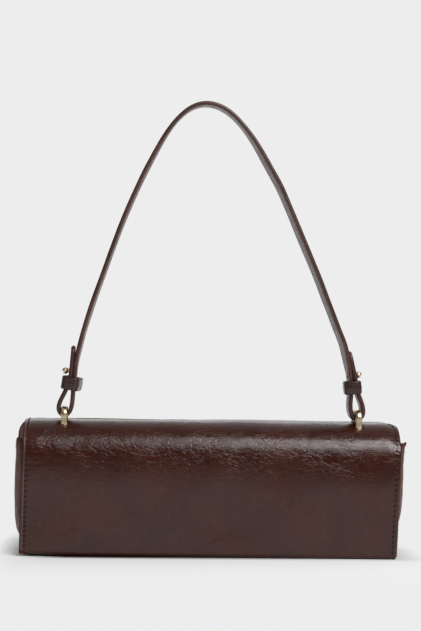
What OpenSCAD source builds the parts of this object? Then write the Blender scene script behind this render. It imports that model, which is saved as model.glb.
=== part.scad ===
// Baguette shoulder bag: a long flap bag in thin leather, with a slim strap on two arches.
// X runs along the bag, -Y is its back, +Y its flap front, Z is up. Millimetres.
// The origin is the middle of the footprint, on the surface the bag stands on.

/* [Body] */
// Width of the back panel between its stitched side edges
body_w = 270; // [200:1:340]
// Depth from the back face to the front face of the closed flap
body_d = 64; // [52:1:90]
// Height of the crown of the closed flap above the surface
body_h = 96; // [80:1:130]
// Thickness of the outer leather
leather_t = 1.6; // [1.0:0.1:2.4]
// Thickness of the stiffening board inside the panels
board_t = 1.2; // [0.8:0.1:2.0]
// Thickness of the lining fabric with its backing
lining_t = 0.8; // [0.4:0.1:1.2]
// Thickness of the board under the lining of the base
base_board_t = 2; // [1:0.5:4]
// Outer radius of the folds along the bottom
bottom_r = 5; // [3:0.5:8]
// How far the front panel and the gussets stay below the back crease
mouth_drop = 5; // [4:0.5:12]
// Room between the closed flap and the front panel
flap_room = 0.5; // [0.3:0.1:1.0]

/* [Gussets] */
// Thickness of the gusset leather
gusset_t = 1.2; // [0.8:0.1:1.6]
// How far a gusset bulges past the side edge of the panels
gusset_bulge = 6; // [2:0.5:8]
// Width of the flange that is stitched to the panels
seam_w = 6.5; // [5:0.5:9]
// Height of the turned hem along the gusset's top edge
hem_h = 3; // [2:0.5:5]

/* [Flap] */
// How far the flap reaches past each side edge of the panels where it hangs down the front
flap_flare = 6; // [0:0.5:8]
// Height of the flap's lower edge above the surface
flap_low_z = 22; // [14:1:40]
// Radius of the shoulder between the back panel and the crown
shoulder_r = 7; // [6:0.5:12]
// Radius of the shallow crown across the top
crown_r = 165; // [120:5:260]
// Distance of the crown's highest line in front of the middle
crown_y = 18; // [12:1:21]
// Radius of the bend between the crown and the front of the flap
front_r = 10; // [8:0.5:11]
// Radius of the flap's lower corners
flap_corner_r = 9; // [3:0.5:16]

/* [Closure] */
// Diameter of the concealed magnets
magnet_d = 15; // [10:1:20]
// Height of the magnets above the flap's lower edge
magnet_rise = 16; // [12:1:24]

/* [Inner pocket] */
// Width of the slip pocket on the back wall
pocket_w = 140; // [80:5:170]
// Height of the slip pocket's lower edge above the lining's floor
pocket_lift = 15.6; // [8:0.2:30]

/* [Strap arches] */
// Distance of each arch from the side edge of the back panel
arch_inset = 28; // [20:0.5:60]
// Diameter of the arch wire
wire_d = 4; // [3:0.2:5]
// Clear height under the arch's bar
arch_gap = 6.4; // [5.8:0.2:10]
// Radius of the arch's upper corners, to the middle of the wire
arch_corner_r = 3.4; // [2.6:0.2:4]
// Room beside the strap inside an arch, on each side
arch_room = 0.9; // [0.7:0.1:2]
// Thickness of the plate under the flap that an arch is screwed to
plate_t = 1.2; // [0.8:0.1:2]
// Width of that plate
plate_w = 8; // [6:0.5:12]
// Diameter of the screws that hold the arches
screw_d = 2.4; // [1.8:0.1:2.6]
// Diameter of their pan heads
screw_head_d = 4.6; // [3.6:0.1:5.6]
// Height of their pan heads
screw_head_h = 1.4; // [1:0.1:2]

/* [Strap] */
// Width of the strap
strap_w = 18; // [12:1:24]
// Thickness of the strap, two layers of leather
strap_t = 2.6; // [2:0.1:3.2]
// Height of the strap's crest above the surface
strap_h = 329; // [240:1:420]
// Sideways lean of the crest
crest_lean = -9.6; // [-15:0.2:15]
// Reach of the crest's curve on the left side
crest_reach_left = 37; // [25:1:60]
// Reach of the crest's curve on the right side
crest_reach_right = 47; // [25:1:60]
// Reach of the arms' curve above the tails
arm_reach = 20; // [5:1:50]
// Room between the loop's inner face and the arch's wire, were they concentric
loop_slack = 2.1; // [1.9:0.1:3]
// How far the loop sits inboard of the arch
loop_offset = 1; // [0:0.1:1.4]
// Gap between the strap and its folded-back tail
tail_gap = 0.8; // [0.5:0.1:1.5]
// Height of a tail's tip above the loop's end
tail_l = 31.5; // [26:0.5:50]
// Height of the loop, from its end to the underside of the arch
loop_h = 17; // [14:0.5:24]

/* [Keepers and studs] */
// Height of a keeper
keeper_h = 9.6; // [7:0.2:12]
// Wall of a keeper
keeper_t = 1.5; // [1:0.1:2]
// Room between keeper and strap, on the flat sides
keeper_room = 1.9; // [0.5:0.1:2.4]
// Height of a keeper's lower edge over the loop's upper end
keeper_rise = 1; // [0:0.1:1.4]
// Distance of a stud above the loop's end
stud_rise = 14.3; // [13.5:0.1:18]
// Diameter of the stud's ball
ball_d = 4.6; // [3.6:0.1:5.6]
// Diameter of the stud's flange
flange_d = 6; // [5:0.2:8]
// Thickness of the stud's flange
flange_t = 0.8; // [0.5:0.1:1.2]
// Length of the stud's neck
neck_l = 1.2; // [0.8:0.1:2]
// Diameter of the stud's post
post_d = 3; // [2.6:0.1:4]
// Diameter of the slotted screw head on the strap's inner face
stud_screw_d = 5.2; // [4:0.1:6.5]
// Thickness of that head
stud_screw_h = 1.8; // [1:0.1:2.4]

/* [Hidden] */
$fn = 48;

oxblood = "#402320";
oxblood_dark = "#2f1a18";
board_grey = "#8d8478";
lining_tan = "#6e5648";
pale_gold = "#e3cda4";
steel = "#b9bcc0";

// small clearances
crease_gap = 0.3;
fold_gap_a = 1.2;
hole_room = 0.2;
seat_gap = 0.1;
loop_room = 0.6;
thread_room = 0.05;
pocket_drop = 8;
board_margin = 7;
lining_margin = 0.5;
eps = 0.01;

// layers from the back face forward, and from the flap's front face backward
back_y = -body_d / 2;
front_y = body_d / 2;
flap_t = leather_t + board_t + lining_t;
wrap_front_y = front_y - flap_t - flap_room;
wrap_depth = wrap_front_y - back_y;
wrap_mid_y = (back_y + wrap_front_y) / 2;

// centres of the three arcs that make the flap's section, as [y, z]
crown_c = [crown_y, body_h - crown_r];
shoulder_c = tangent_centre(back_y + shoulder_r, shoulder_r);
front_c = tangent_centre(front_y - front_r, front_r);
shoulder_a = atan2(shoulder_c[1] - crown_c[1], shoulder_c[0] - crown_c[0]);
front_a = atan2(front_c[1] - crown_c[1], front_c[0] - crown_c[0]);
fold_a = 45;
crease_z = shoulder_c[1];
mouth_z = crease_z - mouth_drop;
gusset_top_z = mouth_z + hem_h;

// plan of the gussets' arcs
gusset_reach = body_w / 2 + gusset_bulge;
gusset_root = body_w / 2 - seam_w + gusset_t;
gusset_half = wrap_depth / 2 - leather_t;
gusset_sag = gusset_reach - gusset_root;
gusset_r = (gusset_half * gusset_half + gusset_sag * gusset_sag) / (2 * gusset_sag);
gusset_c = gusset_reach - gusset_r;
inner_half_w = body_w / 2 - board_margin;
flap_w = body_w + 2 * flap_flare;
magnet_z = flap_low_z + magnet_rise;

// heights of the base's layers and of the pocket on the back wall
board_top_z = leather_t + base_board_t;
floor_z = board_top_z + lining_t;
pocket_z = floor_z + pocket_lift;
pocket_h = mouth_z - pocket_drop - pocket_z;

// frame of an arch: it stands square on the crown, above the middle of the depth
arch_x = body_w / 2 - arch_inset;
arch_h = arch_gap + wire_d;
arch_a = asin(crown_y / crown_r);
arch_in = strap_w + 2 * arch_room;
leg_y = (arch_in + wire_d) / 2;
plate_half = leg_y + plate_w / 2;
inner_crown_r = crown_r - flap_t;
plate_sag = inner_crown_r - sqrt(inner_crown_r * inner_crown_r - plate_half * plate_half);
plate_top = -(flap_t + plate_sag + seat_gap);
leg_end_gap = 0.02;

// the bar's underside in the bag's frame, and the strap's plane
bar_low_z = crown_c[1] + (crown_r + arch_gap) * cos(arch_a);
strap_y = crown_y - (crown_r + arch_gap - 0.5 * wire_d) * sin(arch_a);
tilt_drop = (strap_w / 2 + 1) * sin(arch_a);
loop_in_z = bar_low_z - tilt_drop - loop_room;
loop_end_z = loop_in_z + loop_h;
loop_r = wire_d / 2 + loop_slack;
loop_mid_r = loop_r + strap_t / 2;
loop_c = [arch_x - loop_offset, loop_in_z + loop_r];
strap_pitch = strap_t + tail_gap;
strand_x = arch_x - 8;
tail_x = strand_x + strap_pitch;
crest_z = strap_h - strap_t / 2;
arm_z = loop_end_z + 18;
tail_z = loop_end_z + tail_l;
stud_z = loop_end_z + stud_rise;
keeper_in_x = strap_t + strap_pitch + 2 * keeper_room;
keeper_in_y = strap_w + 1.2;
keeper_mid_x = strand_x + strap_pitch / 2;
strap_steps = 26;

// centre of an arc of radius r that touches the crown's arc from inside, at a given y
function tangent_centre(y, r) =
  [y, crown_c[1] + sqrt((crown_r - r) * (crown_r - r) - (y - crown_c[0]) * (y - crown_c[0]))];

function arc(c, r, a0, a1, n) =
  [for (i = [0:n]) c + r * [cos(a0 + (a1 - a0) * i / n), sin(a0 + (a1 - a0) * i / n)]];

function reverse(p) = [for (i = [len(p) - 1:-1:0]) p[i]];

function bezier(a, b, c, d, n) =
  [for (i = [0:n]) let (u = i / n, v = 1 - u)
    v * v * v * a + 3 * v * v * u * b + 3 * v * u * u * c + u * u * u * d];

function unit(v) = v / norm(v);

// left-hand normal of a path at point i
function side(p, i) =
  let (d = unit(p[min(i + 1, len(p) - 1)] - p[max(i - 1, 0)])) [-d[1], d[0]];

function shifted(p, d) = [for (i = [0:len(p) - 1]) p[i] + d * side(p, i)];

// outline of a band of thickness t along a path
function band(p, t) = concat(shifted(p, t / 2), reverse(shifted(p, -t / 2)));

// the flap's section at a depth below the leather's face, from the back crease to the front fold
function crown_path(depth) = arc(crown_c, crown_r - depth, shoulder_a - 0.5, front_a + 0.5, 14);

function top_path(depth) = concat(
  arc(shoulder_c, shoulder_r - depth, 180, shoulder_a, 8),
  crown_path(depth),
  arc(front_c, front_r - depth, front_a, fold_a + fold_gap_a, 5));

function front_path(depth) = concat(
  arc(front_c, front_r - depth, fold_a - fold_gap_a, 0, 6),
  [[front_y - depth, flap_low_z]]);

// middle line of the strap over the shoulder, and the two arms of it that the tails lie on
left_arm = bezier([-strand_x, arm_z], [-strand_x, arm_z + arm_reach],
  [crest_lean - crest_reach_left, crest_z], [crest_lean, crest_z], strap_steps);
right_arm = bezier([crest_lean, crest_z], [crest_lean + crest_reach_right, crest_z],
  [strand_x, arm_z + arm_reach], [strand_x, arm_z], strap_steps);
left_line = concat([[-strand_x, loop_end_z]], left_arm);
right_line = concat(right_arm, [[strand_x, loop_end_z]]);
strap_line = concat(left_line, [for (i = [1:len(right_line) - 1]) right_line[i]]);

// middle line of the right loop, from the strap down round the arch and up to the tail
loop_line = concat(
  [[strand_x, loop_end_z]],
  bezier([strand_x, loop_end_z - 1], [strand_x, loop_end_z - loop_h / 3],
    loop_c + [-loop_mid_r, loop_h / 4], loop_c + [-loop_mid_r, 0], 6),
  [for (a = [192:12:348]) loop_c + loop_mid_r * [cos(a), sin(a)]],
  bezier(loop_c + [loop_mid_r, 0], loop_c + [loop_mid_r, loop_h / 4],
    [tail_x, loop_end_z - loop_h / 3], [tail_x, loop_end_z - 1], 8),
  [[tail_x, loop_end_z]]);

module along_x(w) {
  rotate([90, 0, 90]) linear_extrude(height = w, center = true) children();
}

module along_y(w) {
  rotate([90, 0, 0]) linear_extrude(height = w, center = true) children();
}

module layer(outer_path, inner_path, w) {
  along_x(w) polygon(concat(outer_path, reverse(inner_path)));
}

// a slot-shaped or rounded rectangle from true arcs
module rounded_rect(w, h, r) {
  square([w - 2 * r, h], center = true);
  square([w, h - 2 * r], center = true);
  for (x = [-1, 1], y = [-1, 1])
    translate([x * (w / 2 - r), y * (h / 2 - r)]) circle(r);
}

// tub-shaped section of the body in [y, z], at a depth below its outer face
module tub_section(depth, top_z) {
  r = bottom_r - depth;
  y0 = back_y + depth;
  y1 = wrap_front_y - depth;
  translate([y0, bottom_r]) square([y1 - y0, top_z - bottom_r]);
  translate([y0 + r, depth]) square([y1 - y0 - 2 * r, bottom_r]);
  for (y = [y0 + r, y1 - r])
    translate([y, bottom_r]) circle(r);
}

// everything that hangs on an arch: local z is 0 on the leather above the middle of the depth
module at_arch(x) {
  translate([x, crown_c[0], crown_c[1]]) rotate([arch_a, 0, 0]) translate([0, 0, crown_r])
    children();
}

module leg_holes(d) {
  for (x = [-1, 1], y = [-1, 1])
    at_arch(x * arch_x) translate([0, y * leg_y, plate_top])
      cylinder(d = d, h = flap_t * 2);
}

// plan of the flap: it widens from the back crease to its front
module flap_plan(margin) {
  w0 = body_w / 2 - margin;
  w1 = flap_w / 2 - margin;
  bend_y = front_y - front_r;
  polygon([[-w0, back_y], [w0, back_y], [w1, bend_y], [w1, front_y + 1],
    [-w1, front_y + 1], [-w1, bend_y], [-w0, back_y]]);
}

// outline of the flap's front seen from the front, with rounded lower corners
module front_outline(margin) {
  w = flap_w - 2 * margin;
  z0 = flap_low_z + margin;
  difference() {
    translate([-w / 2, z0]) square([w, body_h]);
    for (x = [-1, 1])
      translate([x * (w / 2 - flap_corner_r), z0 + flap_corner_r]) difference() {
        translate([x > 0 ? 0 : -flap_corner_r - 1, -flap_corner_r - 1])
          square(flap_corner_r + 1);
        circle(flap_corner_r);
      }
  }
}

// one leather skin folded under the base: back panel, base and front panel
module body_wrap() {
  color(oxblood) difference() {
    along_x(body_w) difference() {
      tub_section(0, crease_z - crease_gap);
      tub_section(leather_t, body_h);
    }
    translate([-body_w, wrap_mid_y, mouth_z]) cube([2 * body_w, body_d, body_h]);
  }
}

// bulging side wall with a flange along each panel, a flange on the base and a turned hem
module gusset(x) {
  low = leather_t;
  y0 = back_y + leather_t;
  depth = wrap_depth - 2 * leather_t;
  color(oxblood) mirror([x < 0 ? 1 : 0, 0, 0]) {
    intersection() {
      translate([gusset_c, wrap_mid_y, low]) difference() {
        cylinder(r = gusset_r, h = gusset_top_z - low);
        translate([0, 0, -1]) cylinder(r = gusset_r - gusset_t, h = body_h);
      }
      translate([gusset_root - 4 * gusset_t, y0, bottom_r])
        cube([gusset_reach, depth, body_h]);
    }
    intersection() {
      translate([gusset_c, wrap_mid_y, gusset_top_z - hem_h]) difference() {
        cylinder(r = gusset_r - gusset_t + eps, h = hem_h);
        translate([0, 0, -1]) cylinder(r = gusset_r - 1.8 * gusset_t, h = body_h);
      }
      translate([gusset_root, y0 + gusset_t, 0]) cube([gusset_reach, depth - 2 * gusset_t, body_h]);
    }
    for (y = [y0, y0 + depth - gusset_t])
      translate([body_w / 2 - seam_w, y, bottom_r])
        cube([seam_w, gusset_t, mouth_z - bottom_r]);
    translate([body_w / 2 - seam_w, y0 + bottom_r - leather_t, low])
      cube([seam_w, depth - 2 * (bottom_r - leather_t), gusset_t]);
    intersection() {
      translate([gusset_c, wrap_mid_y, low]) difference() {
        cylinder(r = gusset_r, h = bottom_r - low + eps);
        translate([0, 0, -1]) cylinder(r = gusset_r - gusset_t, h = body_h);
      }
      translate([gusset_root - 4 * gusset_t, y0 + bottom_r - leather_t, 0])
        cube([gusset_reach, depth - 2 * (bottom_r - leather_t), body_h]);
    }
  }
}

module gusset_left() gusset(-1);
module gusset_right() gusset(1);

// plan of the lining at a depth inside the boards, following the bulging gussets
module lining_plan(depth) {
  y0 = back_y + leather_t + board_t + depth;
  y1 = wrap_front_y - leather_t - board_t - depth;
  intersection() {
    union() {
      translate([-inner_half_w + depth, y0]) square([2 * (inner_half_w - depth), y1 - y0]);
      for (x = [-1, 1])
        translate([x * gusset_c, wrap_mid_y])
          circle(gusset_r - 1.8 * gusset_t - crease_gap - depth, $fn = 96);
    }
    translate([-body_w, y0]) square([2 * body_w, y1 - y0]);
  }
}

// fabric tub with an open top; its back wall runs up to the crease
module body_lining() {
  color(lining_tan) {
    difference() {
      translate([0, 0, board_top_z]) linear_extrude(height = mouth_z - board_top_z)
        lining_plan(0);
      translate([0, 0, floor_z]) linear_extrude(height = body_h) lining_plan(lining_t);
    }
    translate([-inner_half_w + lining_t, back_y + leather_t + board_t, mouth_z - eps])
      cube([2 * (inner_half_w - lining_t), lining_t, mouth_drop - 1]);
  }
}

module base_board() {
  y0 = back_y + bottom_r;
  color(board_grey) translate([-inner_half_w, y0, leather_t])
    cube([2 * inner_half_w, wrap_depth - 2 * bottom_r, base_board_t]);
}

module back_stiffener() {
  color(board_grey) translate([-inner_half_w, back_y + leather_t, bottom_r])
    cube([2 * inner_half_w, board_t, crease_z - bottom_r - 2]);
}

module front_stiffener() {
  color(board_grey) difference() {
    translate([-inner_half_w, wrap_front_y - leather_t - board_t, bottom_r])
      cube([2 * inner_half_w, board_t, mouth_z - bottom_r - 1]);
    magnet_place(wrap_front_y - leather_t - 2 * board_t)
      cylinder(d = magnet_d + 2 * hole_room, h = 3 * board_t);
  }
}

// local z runs along +Y from the given y
module magnet_place(y) {
  translate([0, y, magnet_z]) rotate([-90, 0, 0]) children();
}

module front_magnet() {
  color(steel) magnet_place(wrap_front_y - leather_t - board_t)
    cylinder(d = magnet_d, h = board_t);
}

module flap_magnet() {
  color(steel) magnet_place(front_y - leather_t - board_t)
    cylinder(d = magnet_d, h = board_t);
}

// slip pocket sewn to the back wall of the lining, with a doubled upper hem
module inner_pocket() {
  pocket_y = back_y + leather_t + board_t + lining_t;
  pocket_hem_h = 8;
  color(lining_tan) {
    translate([-pocket_w / 2, pocket_y, pocket_z]) cube([pocket_w, lining_t, pocket_h]);
    translate([-pocket_w / 2, pocket_y, pocket_z + pocket_h - pocket_hem_h])
      cube([pocket_w, 1.5 * lining_t, pocket_hem_h]);
  }
}

module flap_top() {
  color(oxblood) difference() {
    intersection() {
      layer(top_path(0), top_path(leather_t), 2 * body_w);
      linear_extrude(height = 2 * body_h) flap_plan(0);
    }
    leg_holes(wire_d + 2 * hole_room);
  }
}

module flap_top_board() {
  color(board_grey) difference() {
    intersection() {
      layer(crown_path(leather_t), crown_path(leather_t + board_t), 2 * body_w);
      linear_extrude(height = 2 * body_h) flap_plan(board_margin);
    }
    leg_holes(wire_d + 2 * hole_room);
  }
}

module flap_top_lining() {
  color(lining_tan) difference() {
    intersection() {
      layer(top_path(leather_t + board_t), top_path(flap_t), 2 * body_w);
      linear_extrude(height = 2 * body_h) flap_plan(lining_margin);
    }
    leg_holes(wire_d + 2 * hole_room);
  }
}

module flap_front_layer(d0, d1, margin) {
  intersection() {
    layer(front_path(d0), front_path(d1), 2 * body_w);
    along_y(2 * body_d) front_outline(margin);
  }
}

module flap_front() {
  color(oxblood) flap_front_layer(0, leather_t, 0);
}

module flap_front_board() {
  low = flap_low_z + board_margin;
  color(board_grey) difference() {
    translate([-flap_w / 2 + board_margin, front_y - leather_t - board_t, low])
      cube([flap_w - 2 * board_margin, board_t, front_c[1] - low]);
    magnet_place(front_y - leather_t - 2 * board_t)
      cylinder(d = magnet_d + 2 * hole_room, h = 3 * board_t);
  }
}

module flap_front_lining() {
  color(lining_tan) flap_front_layer(leather_t + board_t, flap_t, lining_margin);
}

// bent wire with two legs; a tapped hole runs up each leg
module strap_arch(x) {
  top = arch_h - wire_d / 2;
  leg_top = top - arch_corner_r;
  bar_half = leg_y - arch_corner_r;
  foot = plate_top + leg_end_gap;
  color(pale_gold) at_arch(x) {
    for (y = [-1, 1]) {
      difference() {
        translate([0, y * leg_y, foot]) cylinder(d = wire_d, h = leg_top - foot);
        translate([0, y * leg_y, foot - 1]) cylinder(d = screw_d + 2 * thread_room, h = 6);
      }
      translate([0, y * bar_half, leg_top]) rotate([0, -90, 0]) rotate([0, 0, y > 0 ? 0 : -90])
        rotate_extrude(angle = 90) translate([arch_corner_r, 0]) circle(d = wire_d);
    }
    translate([0, -bar_half, top]) rotate([-90, 0, 0]) cylinder(d = wire_d, h = 2 * bar_half);
  }
}

module strap_arch_left() strap_arch(-arch_x);
module strap_arch_right() strap_arch(arch_x);

module anchor_plate(x) {
  color(steel) at_arch(x) translate([0, 0, plate_top - plate_t]) difference() {
    linear_extrude(height = plate_t)
      rounded_rect(plate_w, 2 * plate_half, plate_w / 2 - 0.5);
    for (y = [-1, 1])
      translate([0, y * leg_y, -1])
        cylinder(d = screw_d + 2 * thread_room, h = plate_t + 2);
  }
}

module anchor_plate_left() anchor_plate(-arch_x);
module anchor_plate_right() anchor_plate(arch_x);

module arch_screws() {
  color(steel) for (x = [-1, 1], y = [-1, 1])
    at_arch(x * arch_x) translate([0, y * leg_y, plate_top - plate_t - screw_head_h]) {
      difference() {
        cylinder(d = screw_head_d, h = screw_head_h);
        translate([-screw_head_d, -0.3, -1]) cube([2 * screw_head_d, 0.6, 1.6]);
      }
      cylinder(d = screw_d, h = screw_head_h + plate_t + 4.4);
    }
}

// holes for the posts of the studs, through strap and tail
module stud_holes() {
  translate([0, strap_y, stud_z]) rotate([0, 90, 0])
    cylinder(d = post_d + 2 * hole_room, h = 3 * arch_x, center = true);
}

// the tail that lies on the outside of an arm, cut off at its rounded tip
module tail(line, outward) {
  tip_r = strap_w / 2;
  intersection() {
    along_y(strap_w) intersection() {
      polygon(band(shifted(line, outward * strap_pitch), strap_t));
      translate([-body_w, 0]) square([2 * body_w, tail_z]);
    }
    union() {
      translate([0, 0, tail_z - tip_r]) rotate([0, 90, 0])
        cylinder(r = tip_r, h = 2 * body_w, center = true);
      translate([-body_w, -tip_r, 0]) cube([2 * body_w, strap_w, tail_z - tip_r]);
    }
  }
}

// shoulder strap with its two folded-back tails
module strap() {
  color(oxblood_dark) difference() {
    translate([0, strap_y, 0]) {
      along_y(strap_w) polygon(band(strap_line, strap_t));
      tail(left_line, 1);
      tail(right_line, 1);
    }
    stud_holes();
  }
}

// the part of the strap that bends round the arch
module strap_loop(x) {
  color(oxblood_dark) mirror([x < 0 ? 1 : 0, 0, 0]) translate([0, strap_y, 0])
    along_y(strap_w) polygon(band(loop_line, strap_t));
}

module strap_loop_left() strap_loop(-1);
module strap_loop_right() strap_loop(1);

// leather ring round strap and tail, just above the loop
module strap_keeper(x) {
  color(oxblood_dark) translate([x * keeper_mid_x, strap_y, loop_end_z + keeper_rise])
    linear_extrude(height = keeper_h) difference() {
      rounded_rect(keeper_in_x + 2 * keeper_t, keeper_in_y + 2 * keeper_t, keeper_t);
      square([keeper_in_x, keeper_in_y], center = true);
    }
}

module strap_keeper_left() strap_keeper(-1);
module strap_keeper_right() strap_keeper(1);

// local z runs outwards from the strap's inner face at a stud
module at_stud(x) {
  translate([x * (strand_x - strap_t / 2), strap_y, stud_z]) rotate([0, x * 90, 0]) children();
}

module strap_studs() {
  face = strap_t + strap_pitch;
  post_end = 0.4;
  color(pale_gold) for (x = [-1, 1]) at_stud(x) {
    translate([0, 0, face]) cylinder(d = flange_d, h = flange_t);
    translate([0, 0, face]) cylinder(d = post_d - 0.6, h = flange_t + neck_l + ball_d / 2);
    translate([0, 0, face + flange_t + neck_l + ball_d / 2 - 0.4]) sphere(d = ball_d);
    difference() {
      translate([0, 0, post_end]) cylinder(d = post_d, h = face - post_end + eps);
      cylinder(d = post_d / 2 + 2 * thread_room, h = face - 1);
    }
  }
}

module stud_screws() {
  color(pale_gold) for (x = [-1, 1]) at_stud(x) {
    difference() {
      translate([0, 0, -stud_screw_h]) cylinder(d = stud_screw_d, h = stud_screw_h);
      translate([-stud_screw_d, -0.4, -stud_screw_h - 1]) cube([2 * stud_screw_d, 0.8, 1.8]);
    }
    translate([0, 0, -0.5]) cylinder(d = post_d / 2, h = strap_t + strap_pitch - 1);
  }
}

body_wrap();
gusset_left();
gusset_right();
body_lining();
base_board();
back_stiffener();
front_stiffener();
front_magnet();
inner_pocket();
flap_top();
flap_top_board();
flap_top_lining();
strap_arch_left();
strap_arch_right();
anchor_plate_left();
anchor_plate_right();
arch_screws();
flap_front();
flap_front_board();
flap_front_lining();
flap_magnet();
strap();
strap_loop_left();
strap_loop_right();
strap_keeper_left();
strap_keeper_right();
strap_studs();
stud_screws();
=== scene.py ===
import bpy
import numpy as np
from mathutils import Matrix, Vector


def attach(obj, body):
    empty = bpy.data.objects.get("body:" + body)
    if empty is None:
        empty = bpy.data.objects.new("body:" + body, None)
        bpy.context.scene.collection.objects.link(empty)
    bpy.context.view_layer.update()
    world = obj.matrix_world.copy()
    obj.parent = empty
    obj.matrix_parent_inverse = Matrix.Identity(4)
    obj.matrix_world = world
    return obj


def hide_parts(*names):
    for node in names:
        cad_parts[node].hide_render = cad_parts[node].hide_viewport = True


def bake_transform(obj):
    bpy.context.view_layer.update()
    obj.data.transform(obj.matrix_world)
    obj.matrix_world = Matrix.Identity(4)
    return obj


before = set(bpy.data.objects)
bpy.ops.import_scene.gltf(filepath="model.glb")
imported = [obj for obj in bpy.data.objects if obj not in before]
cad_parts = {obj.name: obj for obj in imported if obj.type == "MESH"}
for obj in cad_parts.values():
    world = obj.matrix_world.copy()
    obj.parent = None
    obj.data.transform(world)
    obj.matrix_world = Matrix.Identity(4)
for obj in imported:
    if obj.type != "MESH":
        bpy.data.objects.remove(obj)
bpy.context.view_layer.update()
print("stage: frame loaded")


# Curves

# Eases from 0 to 1: 3 t squared less 2 t cubed
def smooth(t):
    t = np.clip(t, 0, 1)
    return t * t * (3 - 2 * t)


# The same directions with length 1
def unit(v):
    return v / np.maximum(np.linalg.norm(v, axis=-1, keepdims=True), 1e-9)


# A natural cubic spline through the points, as a fine line with its running length
def splineThrough(points):
    p = np.asarray(points, float)
    knots = runningLength(p)
    gaps, count = np.diff(knots), len(p)
    system, right = np.eye(count), np.zeros_like(p)
    mid = np.arange(1, count - 1)
    system[mid, mid - 1], system[mid, mid + 1] = gaps[:-1], gaps[1:]
    system[mid, mid] = 2 * (gaps[:-1] + gaps[1:])
    right[1:-1] = 6 * np.diff(np.diff(p, axis=0) / gaps[:, None], axis=0)
    bend = np.linalg.solve(system, right)
    t = np.linspace(0, knots[-1], 6000)
    i = np.clip(np.searchsorted(knots, t, side="right") - 1, 0, count - 2)
    a, b, h = (knots[i + 1] - t)[:, None], (t - knots[i])[:, None], gaps[i][:, None]
    line = (bend[i] * a**3 + bend[i + 1] * b**3) / (6 * h)
    line += (p[i] / h - bend[i] * h / 6) * a + (p[i + 1] / h - bend[i + 1] * h / 6) * b
    return line, runningLength(line)


# The length from the start to each point of a line
def runningLength(line):
    return np.concatenate([[0], np.cumsum(np.linalg.norm(np.diff(line, axis=0), axis=1))])


# The point of a curve at a length, between its two nearest points
def readAt(curve, length):
    line, along = curve
    return np.stack([np.interp(length, along, line[:, k]) for k in range(line.shape[1])], -1)


# The unit way along a curve: the step from 0.4 mm before a length to 0.4 mm after it
def directionAt(curve, length):
    last = curve[1][-1]
    return unit(readAt(curve, np.minimum(length + 0.4, last)) - readAt(curve, np.maximum(length - 0.4, 0)))


# Evenly spaced values from first to last, about a step apart
def evenly(first, last, step):
    return np.linspace(first, last, max(2, int(round(abs(last - first) / step)) + 1))


# Smooth random heights of about unit size: a seeded lattice, one point per cell, read with cubic B-spline weights
# over the 4 by 4 points round each place
def softNoise(u, v, cellU, cellV, seed):
    a, b = u / cellU + 500, v / cellV + 500
    low = np.array([np.floor(a.min()), np.floor(b.min())]).astype(int)
    high = np.array([np.floor(a.max()), np.floor(b.max())]).astype(int)
    lattice = np.random.default_rng(seed).standard_normal(high - low + 5)
    ia, ib = np.floor(a).astype(int) - low[0], np.floor(b).astype(int) - low[1]
    fa, fb = a - np.floor(a), b - np.floor(b)

    def weights(t):
        return [(1 - t) ** 3 / 6, (3 * t**3 - 6 * t**2 + 4) / 6,
                (-3 * t**3 + 3 * t**2 + 3 * t + 1) / 6, t**3 / 6]

    wa, wb = weights(fa), weights(fb)
    total = np.zeros(np.broadcast(u, v).shape)
    for i in range(4):
        for k in range(4):
            total += wa[i] * wb[k] * lattice[ia + i, ib + k]
    return total * 2.1


# Short bent creases: each is a bell-shaped valley with a raised lip, 0.45 as high, on both sides. It fades by e to
# minus the fourth power of the distance along it over its length.
def creaseField(u, v, centres, angles, lengths, depths, width):
    total = np.zeros(np.broadcast(u, v).shape)
    for (cu, cv), angle, length, depth in zip(centres, angles, lengths, depths):
        along = (u - cu) * np.cos(angle) + (v - cv) * np.sin(angle)
        across = -(u - cu) * np.sin(angle) + (v - cv) * np.cos(angle)
        across = across + 0.035 * along**2 * np.sin(cu + cv) * (6 / length)
        fade = np.exp(-((along / length) ** 4))
        valley = np.exp(-((across / width) ** 2))
        lip = np.exp(-(((np.abs(across) - 1.9 * width) / width) ** 2))
        total += depth * fade * (0.45 * lip - valley)
    return total


# Meshes

# A smooth mesh object from points in millimetres, with its sheet coordinates, paint numbers and point values
def makeMesh(name, points, faces, uv=None, paint=None, fields=None):
    mesh = bpy.data.meshes.new(name)
    mesh.from_pydata((np.asarray(points) * 0.001).tolist(), [], np.asarray(faces).tolist())
    mesh.polygons.foreach_set("use_smooth", np.ones(len(mesh.polygons), bool))
    if uv is not None:
        corner = np.zeros(len(mesh.loops), np.int32)
        mesh.loops.foreach_get("vertex_index", corner)
        layer = mesh.uv_layers.new(name="sheet")
        layer.data.foreach_set("uv", (np.asarray(uv)[corner] * 0.001).astype(np.float32).ravel())
    if paint is not None:
        mesh.polygons.foreach_set("material_index", np.asarray(paint, np.int32))
    for field, values in (fields or {}).items():
        mesh.attributes.new(field, "FLOAT", "POINT").data.foreach_set("value", np.asarray(values, np.float32))
    mesh.update()
    piece = bpy.data.objects.new(name, mesh)
    bpy.context.scene.collection.objects.link(piece)
    return piece


# Turns every face outward: the volume inside must come out positive
def outward(points, faces):
    a, b, c, d = (points[faces[:, k]] for k in range(4))
    volume = np.einsum("ij,ij->", a, np.cross(b, c)) + np.einsum("ij,ij->", a, np.cross(c, d))
    return faces if volume > 0 else faces[:, ::-1]


# Faces between rows of point numbers, where each row closes to a ring, and the rows too if they are closed
def ringFaces(numbers, closed=False):
    low = numbers if closed else numbers[:-1]
    high = np.roll(numbers, -1, 0) if closed else numbers[1:]
    return np.stack([low, np.roll(low, -1, 1), np.roll(high, -1, 1), high], -1)


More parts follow.
